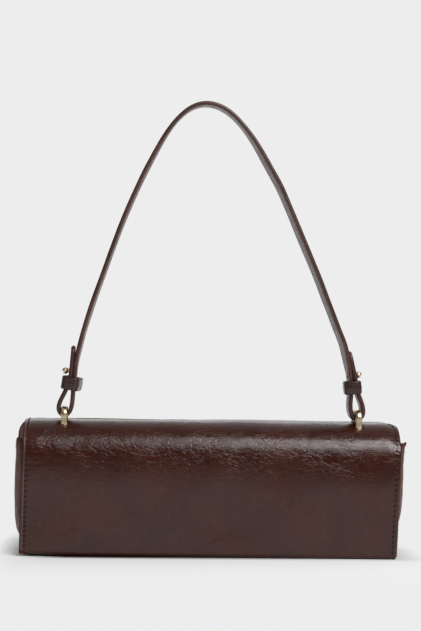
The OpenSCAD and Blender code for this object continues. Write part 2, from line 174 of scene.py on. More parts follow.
# A sheet with two faces and rounded edges. outer and inner are grids of rows by columns.
# Each row is a closed ring: outer face, rounded side, inner face, rounded side.
def sheetOf(outer, inner, uv, roundStart=True, roundEnd=True, closed=False, field=None, edgePaint=2):
    rows, cols = outer.shape[:2]
    middle, half = (outer + inner) / 2, (outer - inner) / 2
    size = np.linalg.norm(half, axis=-1, keepdims=True)
    turns = np.radians([22.5, 67.5, 112.5, 157.5])[None, :, None]
    sideA = unit(middle[:, -1] - middle[:, -2]) * size[:, -1]
    sideB = unit(middle[:, 0] - middle[:, 1]) * size[:, 0]
    roundA = half[:, -1][:, None] * np.cos(turns) + sideA[:, None] * np.sin(turns)
    roundB = half[:, 0][:, None] * -np.cos(turns) + sideB[:, None] * np.sin(turns)

    def allRound(grid):  # the columns, the last one four times, the columns backwards, the first one four times
        return np.concatenate([grid, np.repeat(grid[:, -1:], 4, 1), grid[:, ::-1], np.repeat(grid[:, :1], 4, 1)], 1)

    base = allRound(middle)
    offset = np.concatenate([half, roundA, -half[:, ::-1], roundB], 1)
    flat = allRound(uv)
    width = size[:, :, 0].mean(1)
    ends, endUv = [base + offset], [flat]

    def turnedEnd(row, beside, sign):
        away = unit(base[row] - base[beside])
        reach = np.linalg.norm(offset[row], axis=-1, keepdims=True).max()
        made, madeUv = [], []
        for angle in np.radians([30, 58, 80]):
            made.append(base[row] + offset[row] * np.cos(angle) + away * reach * np.sin(angle))
            madeUv.append(flat[row] + np.array([0, sign * width[row] * np.sin(angle)]))
        return np.array(made), np.array(madeUv)

    first = last = 0
    if roundStart and not closed:
        extra, extraUv = turnedEnd(0, 1, -1)
        ends.insert(0, extra[::-1])
        endUv.insert(0, extraUv[::-1])
        first = 3
    if roundEnd and not closed:
        extra, extraUv = turnedEnd(rows - 1, rows - 2, 1)
        ends.append(extra)
        endUv.append(extraUv)
        last = 3
    ring, ringUv = np.concatenate(ends), np.concatenate(endUv)
    count, around = ring.shape[:2]
    numbers = np.arange(count * around).reshape(count, around)
    faces = ringFaces(numbers, closed)
    paint = np.full(around, edgePaint)
    paint[: cols - 1] = 0
    paint[cols + 4 : 2 * cols + 3] = 1
    paints = np.tile(paint, (len(faces), 1))
    if first:
        paints[:first] = edgePaint
    if last:
        paints[-last:] = edgePaint
    faces, paints = faces.reshape(-1, 4), paints.ravel()
    if not closed:
        top = np.concatenate([2 * cols + 4 + np.array([2, 3]), np.arange(cols), cols + np.array([0, 1])])
        low = np.concatenate([2 * cols + 4 + np.array([1, 0]), np.arange(2 * cols + 3, cols + 3, -1),
                              cols + np.array([3, 2])])
        for number, flip in ((0, True), (count - 1, False)):
            t, b = numbers[number][top], numbers[number][low]
            cap = np.stack([t[:-1], t[1:], b[1:], b[:-1]], -1)
            faces = np.concatenate([faces, cap[:, ::-1] if flip else cap])
            paints = np.concatenate([paints, np.full(len(cap), edgePaint)])
    points = ring.reshape(-1, 3)
    made = {"points": points, "faces": outward(points, faces), "uv": ringUv.reshape(-1, 2), "paint": paints}
    made["cuts"] = [numbers[n] for n, cut in ((0, not roundStart), (count - 1, not roundEnd)) if cut and not closed]
    if field is not None:
        rowsOf = np.clip(np.arange(count) - first, 0, rows - 1)
        made["field"] = allRound(field)[rowsOf].ravel()
    return made


# One piece from several parts
def pieceOf(name, *parts):
    points, faces, uv, paint, field, start = [], [], [], [], [], 0
    for part in parts:
        points.append(part["points"])
        faces.append(part["faces"] + start)
        uv.append(part["uv"])
        paint.append(part["paint"])
        field.append(part.get("field", np.ones(len(part["points"]))))
        start += len(part["points"])
    piece = makeMesh(name, np.concatenate(points), np.concatenate(faces), np.concatenate(uv),
                     np.concatenate(paint), {"crinkle": np.concatenate(field)})
    start = 0
    for part in parts:  # a cut end keeps its own shading, so two pieces meet without a line
        for cut in part.get("cuts", []):
            mesh = piece.data
            inCut = np.zeros(len(mesh.vertices), bool)
            inCut[cut + start] = True
            ends = np.zeros(len(mesh.edges) * 2, np.int32)
            mesh.edges.foreach_get("vertices", ends)
            sharp = inCut[ends.reshape(-1, 2)].all(1)
            layer = mesh.attributes.get("sharp_edge") or mesh.attributes.new("sharp_edge", "BOOLEAN", "EDGE")
            old = np.zeros(len(sharp), bool)
            layer.data.foreach_get("value", old)
            layer.data.foreach_set("value", sharp | old)
        start += len(part["points"])
    return piece


# Stitches: each is a short capsule whose ends dip into the hole. One template, set along a row.
# Its radius is half the thickness times the root of 1.02 less |a| to the 3.5, with a from -1 to 1 along it.
def stitchesAt(centres, along, up, length, thick, dip):
    across = np.cross(along, up)
    rings, sides = 7, 8
    a = np.linspace(-1, 1, rings)
    radius = thick / 2 * np.sqrt(np.clip(1.02 - np.abs(a) ** 3.5, 0.02, 1))
    turn = np.arange(sides) / sides * 2 * np.pi
    t = np.repeat(a, sides)
    side = np.outer(radius, np.cos(turn)).ravel()
    lift = (np.outer(radius, np.sin(turn)) - (dip * np.abs(a) ** 2.4)[:, None]).ravel()
    points = (centres[:, None] + along[:, None] * (t * length / 2)[None, :, None]
              + across[:, None] * side[None, :, None] + up[:, None] * lift[None, :, None])
    numbers = np.arange(rings * sides).reshape(rings, sides)
    faces = ringFaces(numbers).reshape(-1, 4)
    ends = []
    for row, flip in ((numbers[0], True), (numbers[-1], False)):
        cap = row[np.array([[0, 1, 2, 7], [7, 2, 3, 6], [6, 3, 4, 5]])]
        ends.append(cap[:, ::-1] if flip else cap)
    faces = np.concatenate([faces] + ends)
    faces = (faces[None] + (np.arange(len(centres)) * rings * sides)[:, None, None]).reshape(-1, 4)
    uv = np.stack([np.tile(t * length / 2, len(centres)), np.tile(np.tile(turn, rings), len(centres))], -1)
    points = points.reshape(-1, 3)
    return {"points": points, "faces": outward(points, faces), "uv": uv, "paint": np.zeros(len(faces), int)}


# Materials

# A hex colour as linear light
def linearColour(text):
    parts = [int(text[i : i + 2], 16) / 255 for i in (1, 3, 5)]
    return [c / 12.92 if c <= 0.04045 else ((c + 0.055) / 1.055) ** 2.4 for c in parts] + [1.0]


# A material with an empty node tree
def newMaterial(name):
    material = bpy.data.materials.new(name)
    material.use_nodes = True
    material.node_tree.nodes.clear()
    return material


# Adds one node and gives back one of its outputs, or all of them for None.
# An input is a value, a hex colour or another node's output, given in order or by its name or number.
def addNode(material, kind, inputs=(), output=0, **settings):
    tree = material.node_tree
    node = tree.nodes.new("ShaderNode" + kind)
    for key, value in settings.items():
        setattr(node, key, value)
    for key, value in inputs.items() if isinstance(inputs, dict) else enumerate(inputs):
        if isinstance(value, bpy.types.NodeSocket):
            tree.links.new(value, node.inputs[key])
        else:
            node.inputs[key].default_value = linearColour(value) if isinstance(value, str) else value
    return node.outputs if output is None else node.outputs[output]


# The piece's own sheet coordinates, or its object coordinates, in millimetres
def sheetVector(m, ownSheet=True):
    source = addNode(m, "UVMap", uv_map="sheet") if ownSheet else addNode(m, "TexCoord", output="Object")
    return addNode(m, "VectorMath", {0: source, 3: 1000.0}, operation="SCALE")


# A vector pushed about by noise of a size, by up to half the amount each way, so that cells and lines wander
def warped(m, vector, size, amount):
    noise = addNode(m, "TexNoise", {"Vector": vector, "Scale": 1.0 / size}, "Color")
    shift = addNode(m, "VectorMath", [noise, (0.5, 0.5, 0.5)], operation="SUBTRACT")
    scaled = addNode(m, "VectorMath", {0: shift, 3: amount}, operation="SCALE")
    return addNode(m, "VectorMath", [vector, scaled], operation="ADD")


# Cloudy patches: noise of a size in millimetres, eased from its low and high level to the first and last value
def clouded(m, vector, size, low, high, first, last, detail=2.0, rough=0.5):
    noise = addNode(m, "TexNoise", {"Vector": vector, "Scale": 1.0 / size, "Detail": detail, "Roughness": rough})
    return addNode(m, "MapRange", [noise, low, high, first, last], interpolation_type="SMOOTHSTEP")


# Cells of a size in millimetres with creases between them: 0 in a crease, eased to 1 at its width from the middle
def creased(m, vector, size, width):
    edge = addNode(m, "TexVoronoi", {"Vector": vector, "Scale": 1.0 / size}, "Distance", feature="DISTANCE_TO_EDGE")
    return addNode(m, "MapRange", [edge, 0.0, width / size, 0.0, 1.0], interpolation_type="SMOOTHSTEP")


# A soft ridge: strength times e to the power of minus steepness times the squared distance from the centre
def softRidge(m, value, centre, steepness, strength):
    away = addNode(m, "Math", [value, centre], operation="SUBTRACT")
    squared = addNode(m, "Math", [away, away], operation="MULTIPLY")
    falling = addNode(m, "Math", [squared, -steepness], operation="MULTIPLY")
    peak = addNode(m, "Math", [falling], operation="EXPONENT")
    return addNode(m, "Math", [peak, strength], operation="MULTIPLY")


# The bump of a height in millimetres, the surface and the output
def finishMaterial(m, colour, roughness, height, values):
    bump = addNode(m, "Bump", {"Strength": 1.0, "Distance": 0.001, "Height": height})
    surface = addNode(m, "BsdfPrincipled", {**values, "Base Color": colour, "Roughness": roughness, "Normal": bump})
    addNode(m, "OutputMaterial", {"Surface": surface}, None)
    return m


# A surface made of one pattern: it mixes two colours, changes the roughness and stands up by its height
def patterned(m, pattern, levels, colours, roughness, height, values):
    part = addNode(m, "MapRange", [pattern, *levels, 0.0, 1.0], interpolation_type="SMOOTHSTEP")
    tone = addNode(m, "Mix", {0: part, 6: colours[0], 7: colours[1]}, 2, data_type="RGBA")
    rough = addNode(m, "MapRange", [pattern, 0.3, 0.7, *roughness], interpolation_type="SMOOTHSTEP")
    raised = addNode(m, "Math", [pattern, height], operation="MULTIPLY")
    return finishMaterial(m, tone, rough, raised, values)


# the deep colour is painted shade, tinted into the crease valleys
leatherLook = {
    "dark": "#2f0f06", "warm": "#381409", "worn": "#452012", "deep": "#190a06", "rough": 0.18, "specular": 0.5,
    "largeCell": 3.3, "smallCell": 1.9, "largeHeight": 0.066, "smallHeight": 0.045, "grainHeight": 0.006,
    "largeWidth": 0.31, "smallWidth": 0.28}


# Glossy crinkled leather: narrow wandering creases, mostly along the bag, and a finer crackle between them.
# Both fade where the piece's crinkle value is low. The row of stitches pinches the skin at every hole.
def crinkledLeather(name, look):
    m = newMaterial(name)
    place = sheetVector(m)
    wander = warped(m, warped(m, place, 15.0, 9.0), 3.6, 2.0)
    drawn = addNode(m, "Mapping", {"Vector": wander, "Rotation": (0.0, 0.0, 0.16), "Scale": (0.6, 1.0, 1.0)})
    large = creased(m, drawn, look["largeCell"], look["largeWidth"])
    small = creased(m, wander, look["smallCell"], look["smallWidth"])
    patches = clouded(m, place, 17.0, 0.38, 0.56, 0.42 * look["largeHeight"], look["largeHeight"], 3.0)
    spots = clouded(m, place, 8.0, 0.34, 0.6, 0.5 * look["smallHeight"], look["smallHeight"])
    crackle = addNode(m, "Math", [small, spots], operation="MULTIPLY")
    height = addNode(m, "Math", [large, patches, crackle], operation="MULTIPLY_ADD")
    crinkle = addNode(m, "Attribute", output="Fac", attribute_name="crinkle")
    grain = addNode(m, "TexNoise", {"Vector": place, "Scale": 2.0, "Detail": 3.0, "Roughness": 0.6})
    pores = addNode(m, "Math", [grain, look["grainHeight"]], operation="MULTIPLY")
    height = addNode(m, "Math", [height, crinkle, pores], operation="MULTIPLY_ADD")
    shades = clouded(m, place, 34.0, 0.35, 0.65, 0.0, 1.0, 3.0)
    tone = addNode(m, "Mix", {0: shades, 6: look["dark"], 7: look["warm"]}, 2, data_type="RGBA")
    # painted shade: the crease valleys are tinted up to a fifth of the way toward the deep colour
    creaseShade = addNode(m, "Math", [large, -0.2, 0.2], operation="MULTIPLY_ADD")
    tone = addNode(m, "Mix", {0: creaseShade, 6: tone, 7: look["deep"]}, 2, data_type="RGBA")
    worn = clouded(m, place, 7.0, 0.6, 0.75, 0.0, 0.3, 3.0)
    tone = addNode(m, "Mix", {0: worn, 6: tone, 7: look["worn"]}, 2, data_type="RGBA")
    if "seam" in look:
        parts = addNode(m, "SeparateXYZ", [place], None)
        fromMiddle = addNode(m, "Math", [parts[0]], operation="ABSOLUTE")
        pull = softRidge(m, fromMiddle, look["seam"], 0.7, 0.16)
        row = addNode(m, "Math", [parts[1], look["seamTurn"], look["seamShift"]], operation="MULTIPLY_ADD")
        wave = addNode(m, "Math", [row], operation="COSINE")
        holes = addNode(m, "Math", [wave, 0.5, 0.5], operation="MULTIPLY_ADD")
        height = addNode(m, "Math", [holes, pull, height], operation="MULTIPLY_ADD")
        # painted highlight: a pale line along the left edge only, where the rolled edge catches the light
        wearAndHighlight = softRidge(m, parts[0], look["edgeHighlightAt"], 9.0, 0.3)
        tone = addNode(m, "Mix", {0: wearAndHighlight, 6: tone, 7: look["wearAndHighlight"]}, 2, data_type="RGBA")
    rough = clouded(m, place, 5.0, 0.3, 0.7, look["rough"] - 0.05, look["rough"] + 0.07, 4.0, 0.6)
    return finishMaterial(m, tone, rough, height, {"IOR": 1.5, "Specular IOR Level": look["specular"]})


# Leather's flesh side: matt, short fibres
def fleshSide(name, colour, paler):
    m = newMaterial(name)
    wander = warped(m, sheetVector(m), 3.0, 2.0)
    fibres = addNode(m, "TexNoise", {"Vector": wander, "Scale": 1 / 0.7, "Detail": 4.0, "Roughness": 0.65})
    return patterned(m, fibres, (0.35, 0.7), (colour, paler), (0.75, 0.95), 0.12, {"Specular IOR Level": 0.3})


# Painted edge: satin, slightly lumpy, rubbed paler here and there
def paintedEdge(name, colour, wearAndHighlight):
    m = newMaterial(name)
    place = sheetVector(m)
    lumps = addNode(m, "TexNoise", {"Vector": place, "Scale": 1 / 1.6, "Detail": 3.0, "Roughness": 0.5})
    pale = clouded(m, place, 4.0, 0.52, 0.7, 0.0, 0.8, 4.0)
    tone = addNode(m, "Mix", {0: pale, 6: colour, 7: wearAndHighlight}, 2, data_type="RGBA")
    rough = addNode(m, "MapRange", [lumps, 0.3, 0.7, 0.3, 0.46], interpolation_type="SMOOTHSTEP")
    raised = addNode(m, "Math", [lumps, 0.06], operation="MULTIPLY")
    return finishMaterial(m, tone, rough, raised, {"Specular IOR Level": 0.5})


# Twisted thread: slanting ridges that show the twist, with painted shade in the grooves between them
def twistedThread(name, colour, darker):
    m = newMaterial(name)
    parts = addNode(m, "SeparateXYZ", [sheetVector(m)], None)
    along = addNode(m, "Math", [parts[1], 2.0], operation="MULTIPLY")
    slant = addNode(m, "Math", [parts[0], 9.0, along], operation="MULTIPLY_ADD")
    ridges = addNode(m, "Math", [slant], operation="SINE")
    part = addNode(m, "Math", [ridges, 0.5, 0.5], operation="MULTIPLY_ADD")
    # painted shade: the tone follows the ridges, darker towards the grooves
    tone = addNode(m, "Mix", {0: part, 6: darker, 7: colour}, 2, data_type="RGBA")
    rough = addNode(m, "MapRange", [part, 0.0, 1.0, 0.62, 0.5], interpolation_type="SMOOTHSTEP")
    raised = addNode(m, "Math", [part, 0.06], operation="MULTIPLY")
    return finishMaterial(m, tone, rough, raised, {"Specular IOR Level": 0.4})


# Fine twill lining: diagonal ribs 0.6 mm apart, crossed by a lighter weft every 0.4 mm, and uneven yarn
def twillLining(name, colour, darker):
    m = newMaterial(name)
    place = sheetVector(m)
    parts = addNode(m, "SeparateXYZ", [place], None)
    diagonal = addNode(m, "Math", [parts[0], parts[1]], operation="ADD")
    waves = []
    for value, turn in ((diagonal, 7.4), (parts[1], 15.7)):
        angle = addNode(m, "Math", [value, turn], operation="MULTIPLY")
        waves.append(addNode(m, "Math", [angle], operation="SINE"))
    ribs = addNode(m, "Math", [waves[0], 0.35, 0.5], operation="MULTIPLY_ADD")
    weave = addNode(m, "Math", [waves[1], 0.14, ribs], operation="MULTIPLY_ADD")
    slub = addNode(m, "TexNoise", {"Vector": place, "Scale": 1 / 2.2, "Detail": 4.0, "Roughness": 0.5})
    yarn = addNode(m, "Math", [slub, 0.3], operation="MULTIPLY")
    shade = addNode(m, "Math", [weave, 0.7, yarn], operation="MULTIPLY_ADD")
    tone = addNode(m, "Mix", {0: shade, 6: darker, 7: colour}, 2, data_type="RGBA")
    rough = addNode(m, "MapRange", [slub, 0.3, 0.7, 0.66, 0.84], interpolation_type="SMOOTHSTEP")
    raised = addNode(m, "Math", [weave, 0.05], operation="MULTIPLY")
    return finishMaterial(m, tone, rough, raised,
                          {"Specular IOR Level": 0.35, "Sheen Weight": 0.25, "Sheen Roughness": 0.4})


# Grey stiffening board: pressed fibres and specks
def fibreBoard(name, colour, darker, ownSheet):
    m = newMaterial(name)
    place = sheetVector(m, ownSheet)
    fibres = addNode(m, "TexNoise", {"Vector": place, "Scale": 1 / 1.4, "Detail": 5.0, "Roughness": 0.7})
    return patterned(m, fibres, (0.4, 0.72), (colour, darker), (0.82, 0.95), 0.05, {"Specular IOR Level": 0.2})


# Polished plating: a clear mirror with faint rubbed lines and small changes in gloss
def polishedPlating(name, colour, deeper, rough):
    m = newMaterial(name)
    place = sheetVector(m, False)
    stretched = addNode(m, "Mapping", {"Vector": place, "Scale": (1.0, 1.0, 0.12)})
    lines = addNode(m, "TexNoise", {"Vector": stretched, "Scale": 1 / 0.35, "Detail": 3.0, "Roughness": 0.6})
    cloud = clouded(m, place, 3.5, 0.35, 0.7, 0.0, 0.5, 3.0)
    tone = addNode(m, "Mix", {0: cloud, 6: colour, 7: deeper}, 2, data_type="RGBA")
    gloss = addNode(m, "MapRange", [lines, 0.3, 0.7, rough - 0.04, rough + 0.06], interpolation_type="SMOOTHSTEP")
    raised = addNode(m, "Math", [lines, 0.004], operation="MULTIPLY")
    return finishMaterial(m, tone, gloss, raised, {"Metallic": 1.0})


# The skin: very dark oxblood, glazed glossy, with a paler line painted along its left edge as a highlight
seamTurn = 2 * np.pi / 3.7
seamLook = {"seam": 132.0, "seamTurn": seamTurn, "seamShift": -seamTurn * 33.35,
            "edgeHighlightAt": -133.5, "wearAndHighlight": "#8d6c62"}
bagLeather = crinkledLeather("crinkledOxbloodLeather", {**leatherLook, **seamLook})
# The strap: the same hide, tighter and smoother, with a duller shine
strapLook = {**leatherLook, "dark": "#3a1d16", "warm": "#4a2920", "worn": "#6a463a", "rough": 0.33,
             "largeCell": 3.0, "smallCell": 1.3, "largeHeight": 0.04, "smallHeight": 0.02}
strapLeather = crinkledLeather("smoothStrapLeather", strapLook)
# Its underside: rubbed and paler
innerStrapLeather = crinkledLeather("strapUndersideLeather", {
    **strapLook, "dark": "#5f4540", "warm": "#70534e", "worn": "#8a6b66", "rough": 0.36})
# The gussets: soft hide that takes less polish, so its own brown shows
gussetLeather = crinkledLeather("gussetLeather", {
    **leatherLook, "dark": "#472217", "warm": "#52291c", "rough": 0.4, "specular": 0.08})
# The keepers: folded strips, creased more deeply
keeperLeather = crinkledLeather("keeperLeather", {
    **leatherLook, "dark": "#2a1612", "warm": "#35201a", "worn": "#553a32", "rough": 0.24,
    "largeCell": 3.4, "smallCell": 1.2, "largeHeight": 0.07, "smallHeight": 0.03})
leatherBack = fleshSide("leatherFleshSide", "#4a2b20", "#6d4636")
edgePaint = paintedEdge("paintedLeatherEdge", "#33201b", "#7c655a")
bagEdgePaint = paintedEdge("paintedBagEdge", "#2c1812", "#5b3a2e")
bagThread = twistedThread("oxbloodThread", "#220c09", "#120504")
strapThread = twistedThread("strapThread", "#9b8378", "#5c4239")
liningCloth = twillLining("brownTwillLining", "#7f6553", "#58432f")
boardSheet = fibreBoard("greyFibreBoard", "#b4aea3", "#8f887c", True)
boardSolid = fibreBoard("greyFibreBoardSolid", "#b4aea3", "#8f887c", False)
paleGold = polishedPlating("polishedPaleGold", "#fbe6c2", "#f2d2a0", 0.24)
plainSteel = polishedPlating("zincPlatedSteel", "#c9cbcf", "#a9adb3", 0.3)


# Gives a piece its materials, in the order of its paint numbers
def dress(piece, *materials):
    piece.data.materials.clear()
    for material in materials:
        piece.data.materials.append(material)
    return piece


# Which CAD nodes a piece stands for, and the body it rides on or the two that it blends
def settle(piece, nodes, moves):
    if nodes:
        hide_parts(*nodes)
    if isinstance(moves, str):
        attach(piece, moves)
    else:
        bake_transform(piece)


print("stage: materials made")


# The bag's section and its soft shape

bag = {
    "halfWidth": 135.0, "flapHalfWidth": 141.0, "skinHalfWidth": 134.25, "leather": 1.6, "board": 1.2,
    "lining": 0.8, "joinY": 20.0, "cornerRound": 11.0, "archX": 107.0, "archFeet": (-12.4, 11.4), "footLift": 2.9,
    "stitchInset": 3.0, "stitchPitch": 3.7, "stitchLength": 2.8, "threadThick": 0.86, "stitchTilt": 0.10,
    "step": 1.06, "frontStep": 1.8, "flapStep": 1.6}
# back, crown and flap front as one line of (y, z) from the base seam
backSection = splineThrough([
    (-2, 0), (-14, 0), (-24, 0), (-28.3, 0), (-30.0, 0.3), (-31.2, 1.15), (-31.85, 2.4), (-32, 4), (-32, 9),
    (-32, 25), (-32, 46), (-31.8, 60), (-31.35, 68), (-30.75, 73), (-29.95, 77), (-28.85, 80.5), (-27.4, 83.5),
    (-25.7, 86), (-23.3, 88.5), (-20.2, 91), (-16.6, 93.1), (-12.2, 94.7), (-7, 95.7), (0, 96.1), (8, 96.2),
    (14, 96.1), (20, 95.7), (24, 95.0), (27.2, 93.5), (29.8, 91.1), (31.3, 87.7), (31.9, 83), (32, 78), (32, 60),
    (32, 40), (32, 22)])
frontSection = splineThrough([
    (-2, 0), (8, 0), (18, 0), (22.9, 0), (24.81, 0.38), (26.44, 1.46), (27.52, 3.09), (27.9, 5), (27.9, 9),
    (27.9, 25), (27.9, 45), (27.9, 62), (27.9, 78)])


# The length at which a section first passes a test of its y and z
def lengthWhere(curve, test):
    return float(curve[1][np.argmax(test(curve[0][:, 0], curve[0][:, 1]))])


sCrease = lengthWhere(backSection, lambda y, z: z > 82)
sJoin = lengthWhere(backSection, lambda y, z: y > bag["joinY"])
sFlapEnd = float(backSection[1][-1])


# The panels lean to the left at the foot and widen upwards: x is scaled by 134.65 / 135 at the foot to 135.8 / 135
# at 83 mm, and shifted by -1.85 mm at the foot to 0.1 mm
def leanX(x, z):
    up = np.clip(z / 83.0, 0, 1)
    return x * (134.65 + 1.15 * up) / 135.0 + (-1.85 + 1.95 * up)


# The flap's half width grows over the front bend, at places given by y plus the drop under the crown
flapHalves = {22: 135, 26: 135.5, 30: 136.8, 34: 138.5, 39: 140.3, 43: 141.2, 49: 141.4}
flapPlaces = [lengthWhere(backSection, lambda y, z, at=at: (y > 20) & (y + (96 - z) > at)) for at in flapHalves]


# Half width of the flap along the section as a part of the bag's, with the last length at its own half width
def flapWidth(s):
    places = flapPlaces + [sFlapEnd - 8]
    return np.interp(s, places, [*flapHalves.values(), bag["flapHalfWidth"]]) / bag["halfWidth"]


# Slow waves of the whole skin, shared by every layer: noise of two sizes, calmer near the base, and a bell-shaped
# fall of the crown at its two ends
def slowWaves(u, s):
    crown = smooth((s - sCrease + 6) / 14)
    waves = 0.34 * softNoise(u, s, 48, 40, 11) + 0.15 * softNoise(u, s, 19, 17, 12)
    ends = -(0.15 + 1.5 * (u > 0)) * np.exp(-(((135 - np.abs(u)) / 6.5) ** 2)) * crown
    calm = smooth((s - 32) / 14)
    return waves * (0.25 + 0.75 * calm) + ends


# Fine relief of the outer face only: noise of two sizes that grows upwards, and creases, less a bell-shaped groove
# along the stitches and a worn rim, with a soft roll beside them and a dent with a raised ring at each arch foot
def fineRelief(u, s, base, edge, creases):
    x, y, z = np.moveaxis(base, -1, 0)
    strength = 0.18 + 0.82 * smooth((z - 52) / 26)
    relief = strength * 0.034 * softNoise(u, s, 6.5, 5.5, 21)
    relief += strength * 0.016 * softNoise(u, s, 2.9, 2.7, 22)
    relief += creases
    relief -= 0.34 * np.exp(-(((edge - bag["stitchInset"]) / 1.0) ** 2))
    relief -= 0.16 * (1 - smooth((edge - 1.0) / 3.4))
    relief += 0.22 * np.exp(-(((edge - 9.5) / 4.5) ** 2))
    for side in (-bag["archX"], bag["archX"]):
        for foot in bag["archFeet"]:
            near = (x - side) ** 2 + (y - foot) ** 2
            relief -= np.where(z > 84, 0.55 * np.exp(-near / 8.4) - 0.16 * np.exp(-near / 40.0), 0)
    return relief


# The left foot of the back panel stands a little off the floor: the lift fades to about a third every 18 mm
def footLift(x, y, z):
    along = np.exp(-np.clip(x + bag["halfWidth"], 0, None) / 18.0)
    return bag["footLift"] * along * smooth((-4 - y) / 22) * (1 - smooth(z / 34))


# How far the back panel leans in over its foot at a height, read from the section's rising part
def panelLean(z):
    line = backSection[0]
    rise = (line[:, 0] < -20) & (line[:, 1] > 8)
    return 32 + np.interp(z, line[rise, 1], line[rise, 0])


# Points of the skin: the section's point at s, moved by the lift along its outward way, and u across the bag
def skinPoints(curve, sign, u, s, lift, width):
    yz, way = readAt(curve, s), directionAt(curve, s)
    normal = sign * np.stack([-way[:, 1], way[:, 0]], -1)
    y = yz[:, 0, None] + normal[:, 0, None] * lift
    z = yz[:, 1, None] + normal[:, 1, None] * lift
    x = leanX(u * width[:, None], np.clip(yz[:, 1, None], 0, 83))
    return np.stack([x, y, z + footLift(x, y, z)], -1)


# Random places in a rectangle
def spread(generator, count, lowU, highU, lowS, highS):
    return np.stack([generator.uniform(lowU, highU, count), generator.uniform(lowS, highS, count)], -1)


creaseRandom = np.random.default_rng(5)
backCreases = np.concatenate([spread(creaseRandom, 46, -130, 130, sCrease - 26, sCrease + 12),
                              spread(creaseRandom, 34, -10, 118, sCrease - 22, sCrease + 10),
                              spread(creaseRandom, 16, -130, 130, 45, sCrease - 20)])
backAngles = creaseRandom.normal(0.0, 0.55, len(backCreases))
backLengths = creaseRandom.uniform(2.5, 9.0, len(backCreases))
backDepths = creaseRandom.uniform(0.01, 0.06, len(backCreases))


# One layer of the skin between two lengths along the section and two depths under it, plain or as functions.
# A corner of radius r narrows the last rows by r less the root of r squared less (r less the rest) squared.
def skinLayer(curve, sign, first, last, halfWidth, shallow, deep, stepU, stepS, outerRelief=None, flare=True,
              waves=True, roundStart=True, roundEnd=True, corner=0.0):
    s = evenly(first, last, stepS)
    u = evenly(-halfWidth, halfWidth, stepU)[None, :]
    wide = flapWidth(s) if flare else np.ones(len(s))
    if corner:
        left = np.clip(last - s, 0, corner)
        arc = np.sqrt(np.clip(corner**2 - (corner - left) ** 2, 0, None))
        wide = wide * (halfWidth - corner + arc) / halfWidth
    su = np.broadcast_to(s[:, None], (len(s), u.shape[1]))
    uu = np.broadcast_to(u, su.shape)
    slow = slowWaves(uu, su) if waves else 0.0 * su
    base = skinPoints(curve, sign, uu, s, slow, wide)
    fine = outerRelief(uu, su, base, wide) if outerRelief else 0.0 * su
    shallowAt = shallow(uu, su) if callable(shallow) else shallow
    deepAt = deep(uu, su) if callable(deep) else deep
    outer = skinPoints(curve, sign, uu, s, slow + fine - shallowAt, wide)
    inner = skinPoints(curve, sign, uu, s, slow - deepAt, wide)
    uv = np.stack([uu, su], -1)
    # the crackle is faint low down, full above the middle, and a third weaker at the right end
    crinkle = 0.13 + 0.87 * smooth((base[:, :, 2] - 44) / 24)
    crinkle = crinkle * (1 - 0.35 * smooth((base[:, :, 0] - 96) / 16))
    part = sheetOf(outer, inner, uv, roundStart, roundEnd, field=crinkle)
    part["outer"], part["s"], part["u"] = outer, s, u.ravel()
    return part


# The back's outer relief: its stitched edges are the two sides
def backRelief(uu, su, base, wide):
    edge = bag["halfWidth"] - np.abs(uu)
    creases = creaseField(uu, su, backCreases, backAngles, backLengths, backDepths, 0.8)
    return fineRelief(uu, su, base, edge, creases)


# The flap front's outer relief: its stitched edges are the sides and the lower end
def flapFrontRelief(uu, su, base, wide):
    edge = np.minimum((bag["halfWidth"] - np.abs(uu)) * wide[:, None], sFlapEnd - su)
    creases = creaseField(uu, su, backCreases * [1, 0.6] + [7, 90], backAngles, backLengths, backDepths * 0.6, 0.95)
    return fineRelief(uu, su, base, edge, creases)


# The front panel's outer relief: its stitched edges are the sides and the top
def frontRelief(uu, su, base, wide):
    edge = np.minimum(bag["halfWidth"] - np.abs(uu), frontSection[1][-1] - su)
    return fineRelief(uu, su, base, edge, 0.0)


# Stitches along a line on a layer's outer face, given by u across and s along the section. Each lies on the face
# between four grid points, and up is the cross product of the steps across and along, turned away from the inside.
def stitchesOnLayer(part, uLine, sLine):
    outer, s, u = part["outer"], part["s"], part["u"]
    path = np.stack([uLine, sLine], -1)
    along = runningLength(path)
    marks = np.arange(bag["stitchPitch"] / 2, along[-1], bag["stitchPitch"])

    def surface(distance, shiftU=0.0, shiftS=0.0):
        pu = np.clip((np.interp(distance, along, uLine) + shiftU - u[0]) / (u[1] - u[0]), 0, len(u) - 1.001)
        ps = np.clip((np.interp(distance, along, sLine) + shiftS - s[0]) / (s[1] - s[0]), 0, len(s) - 1.001)
        iu, ips = pu.astype(int), ps.astype(int)
        fu, fs = (pu - iu)[:, None], (ps - ips)[:, None]
        return ((outer[ips, iu] * (1 - fu) + outer[ips, iu + 1] * fu) * (1 - fs)
                + (outer[ips + 1, iu] * (1 - fu) + outer[ips + 1, iu + 1] * fu) * fs)

    centre = surface(marks)
    ahead = unit(surface(marks + 1.2) - surface(marks - 1.2))
    acrossU = surface(marks, 1.2) - surface(marks, -1.2)
    acrossS = surface(marks, 0, 1.2) - surface(marks, 0, -1.2)
    up = unit(np.cross(acrossU, acrossS))
    insideBag = np.array([0, -2.0, 45.0])
    up *= np.sign(np.einsum("ij,ij->i", up, centre - insideBag))[:, None]
    ahead = unit(ahead + np.cross(up, ahead) * bag["stitchTilt"])
    return stitchesAt(centre + up * 0.22, ahead, up, bag["stitchLength"], bag["threadThick"], 0.42)


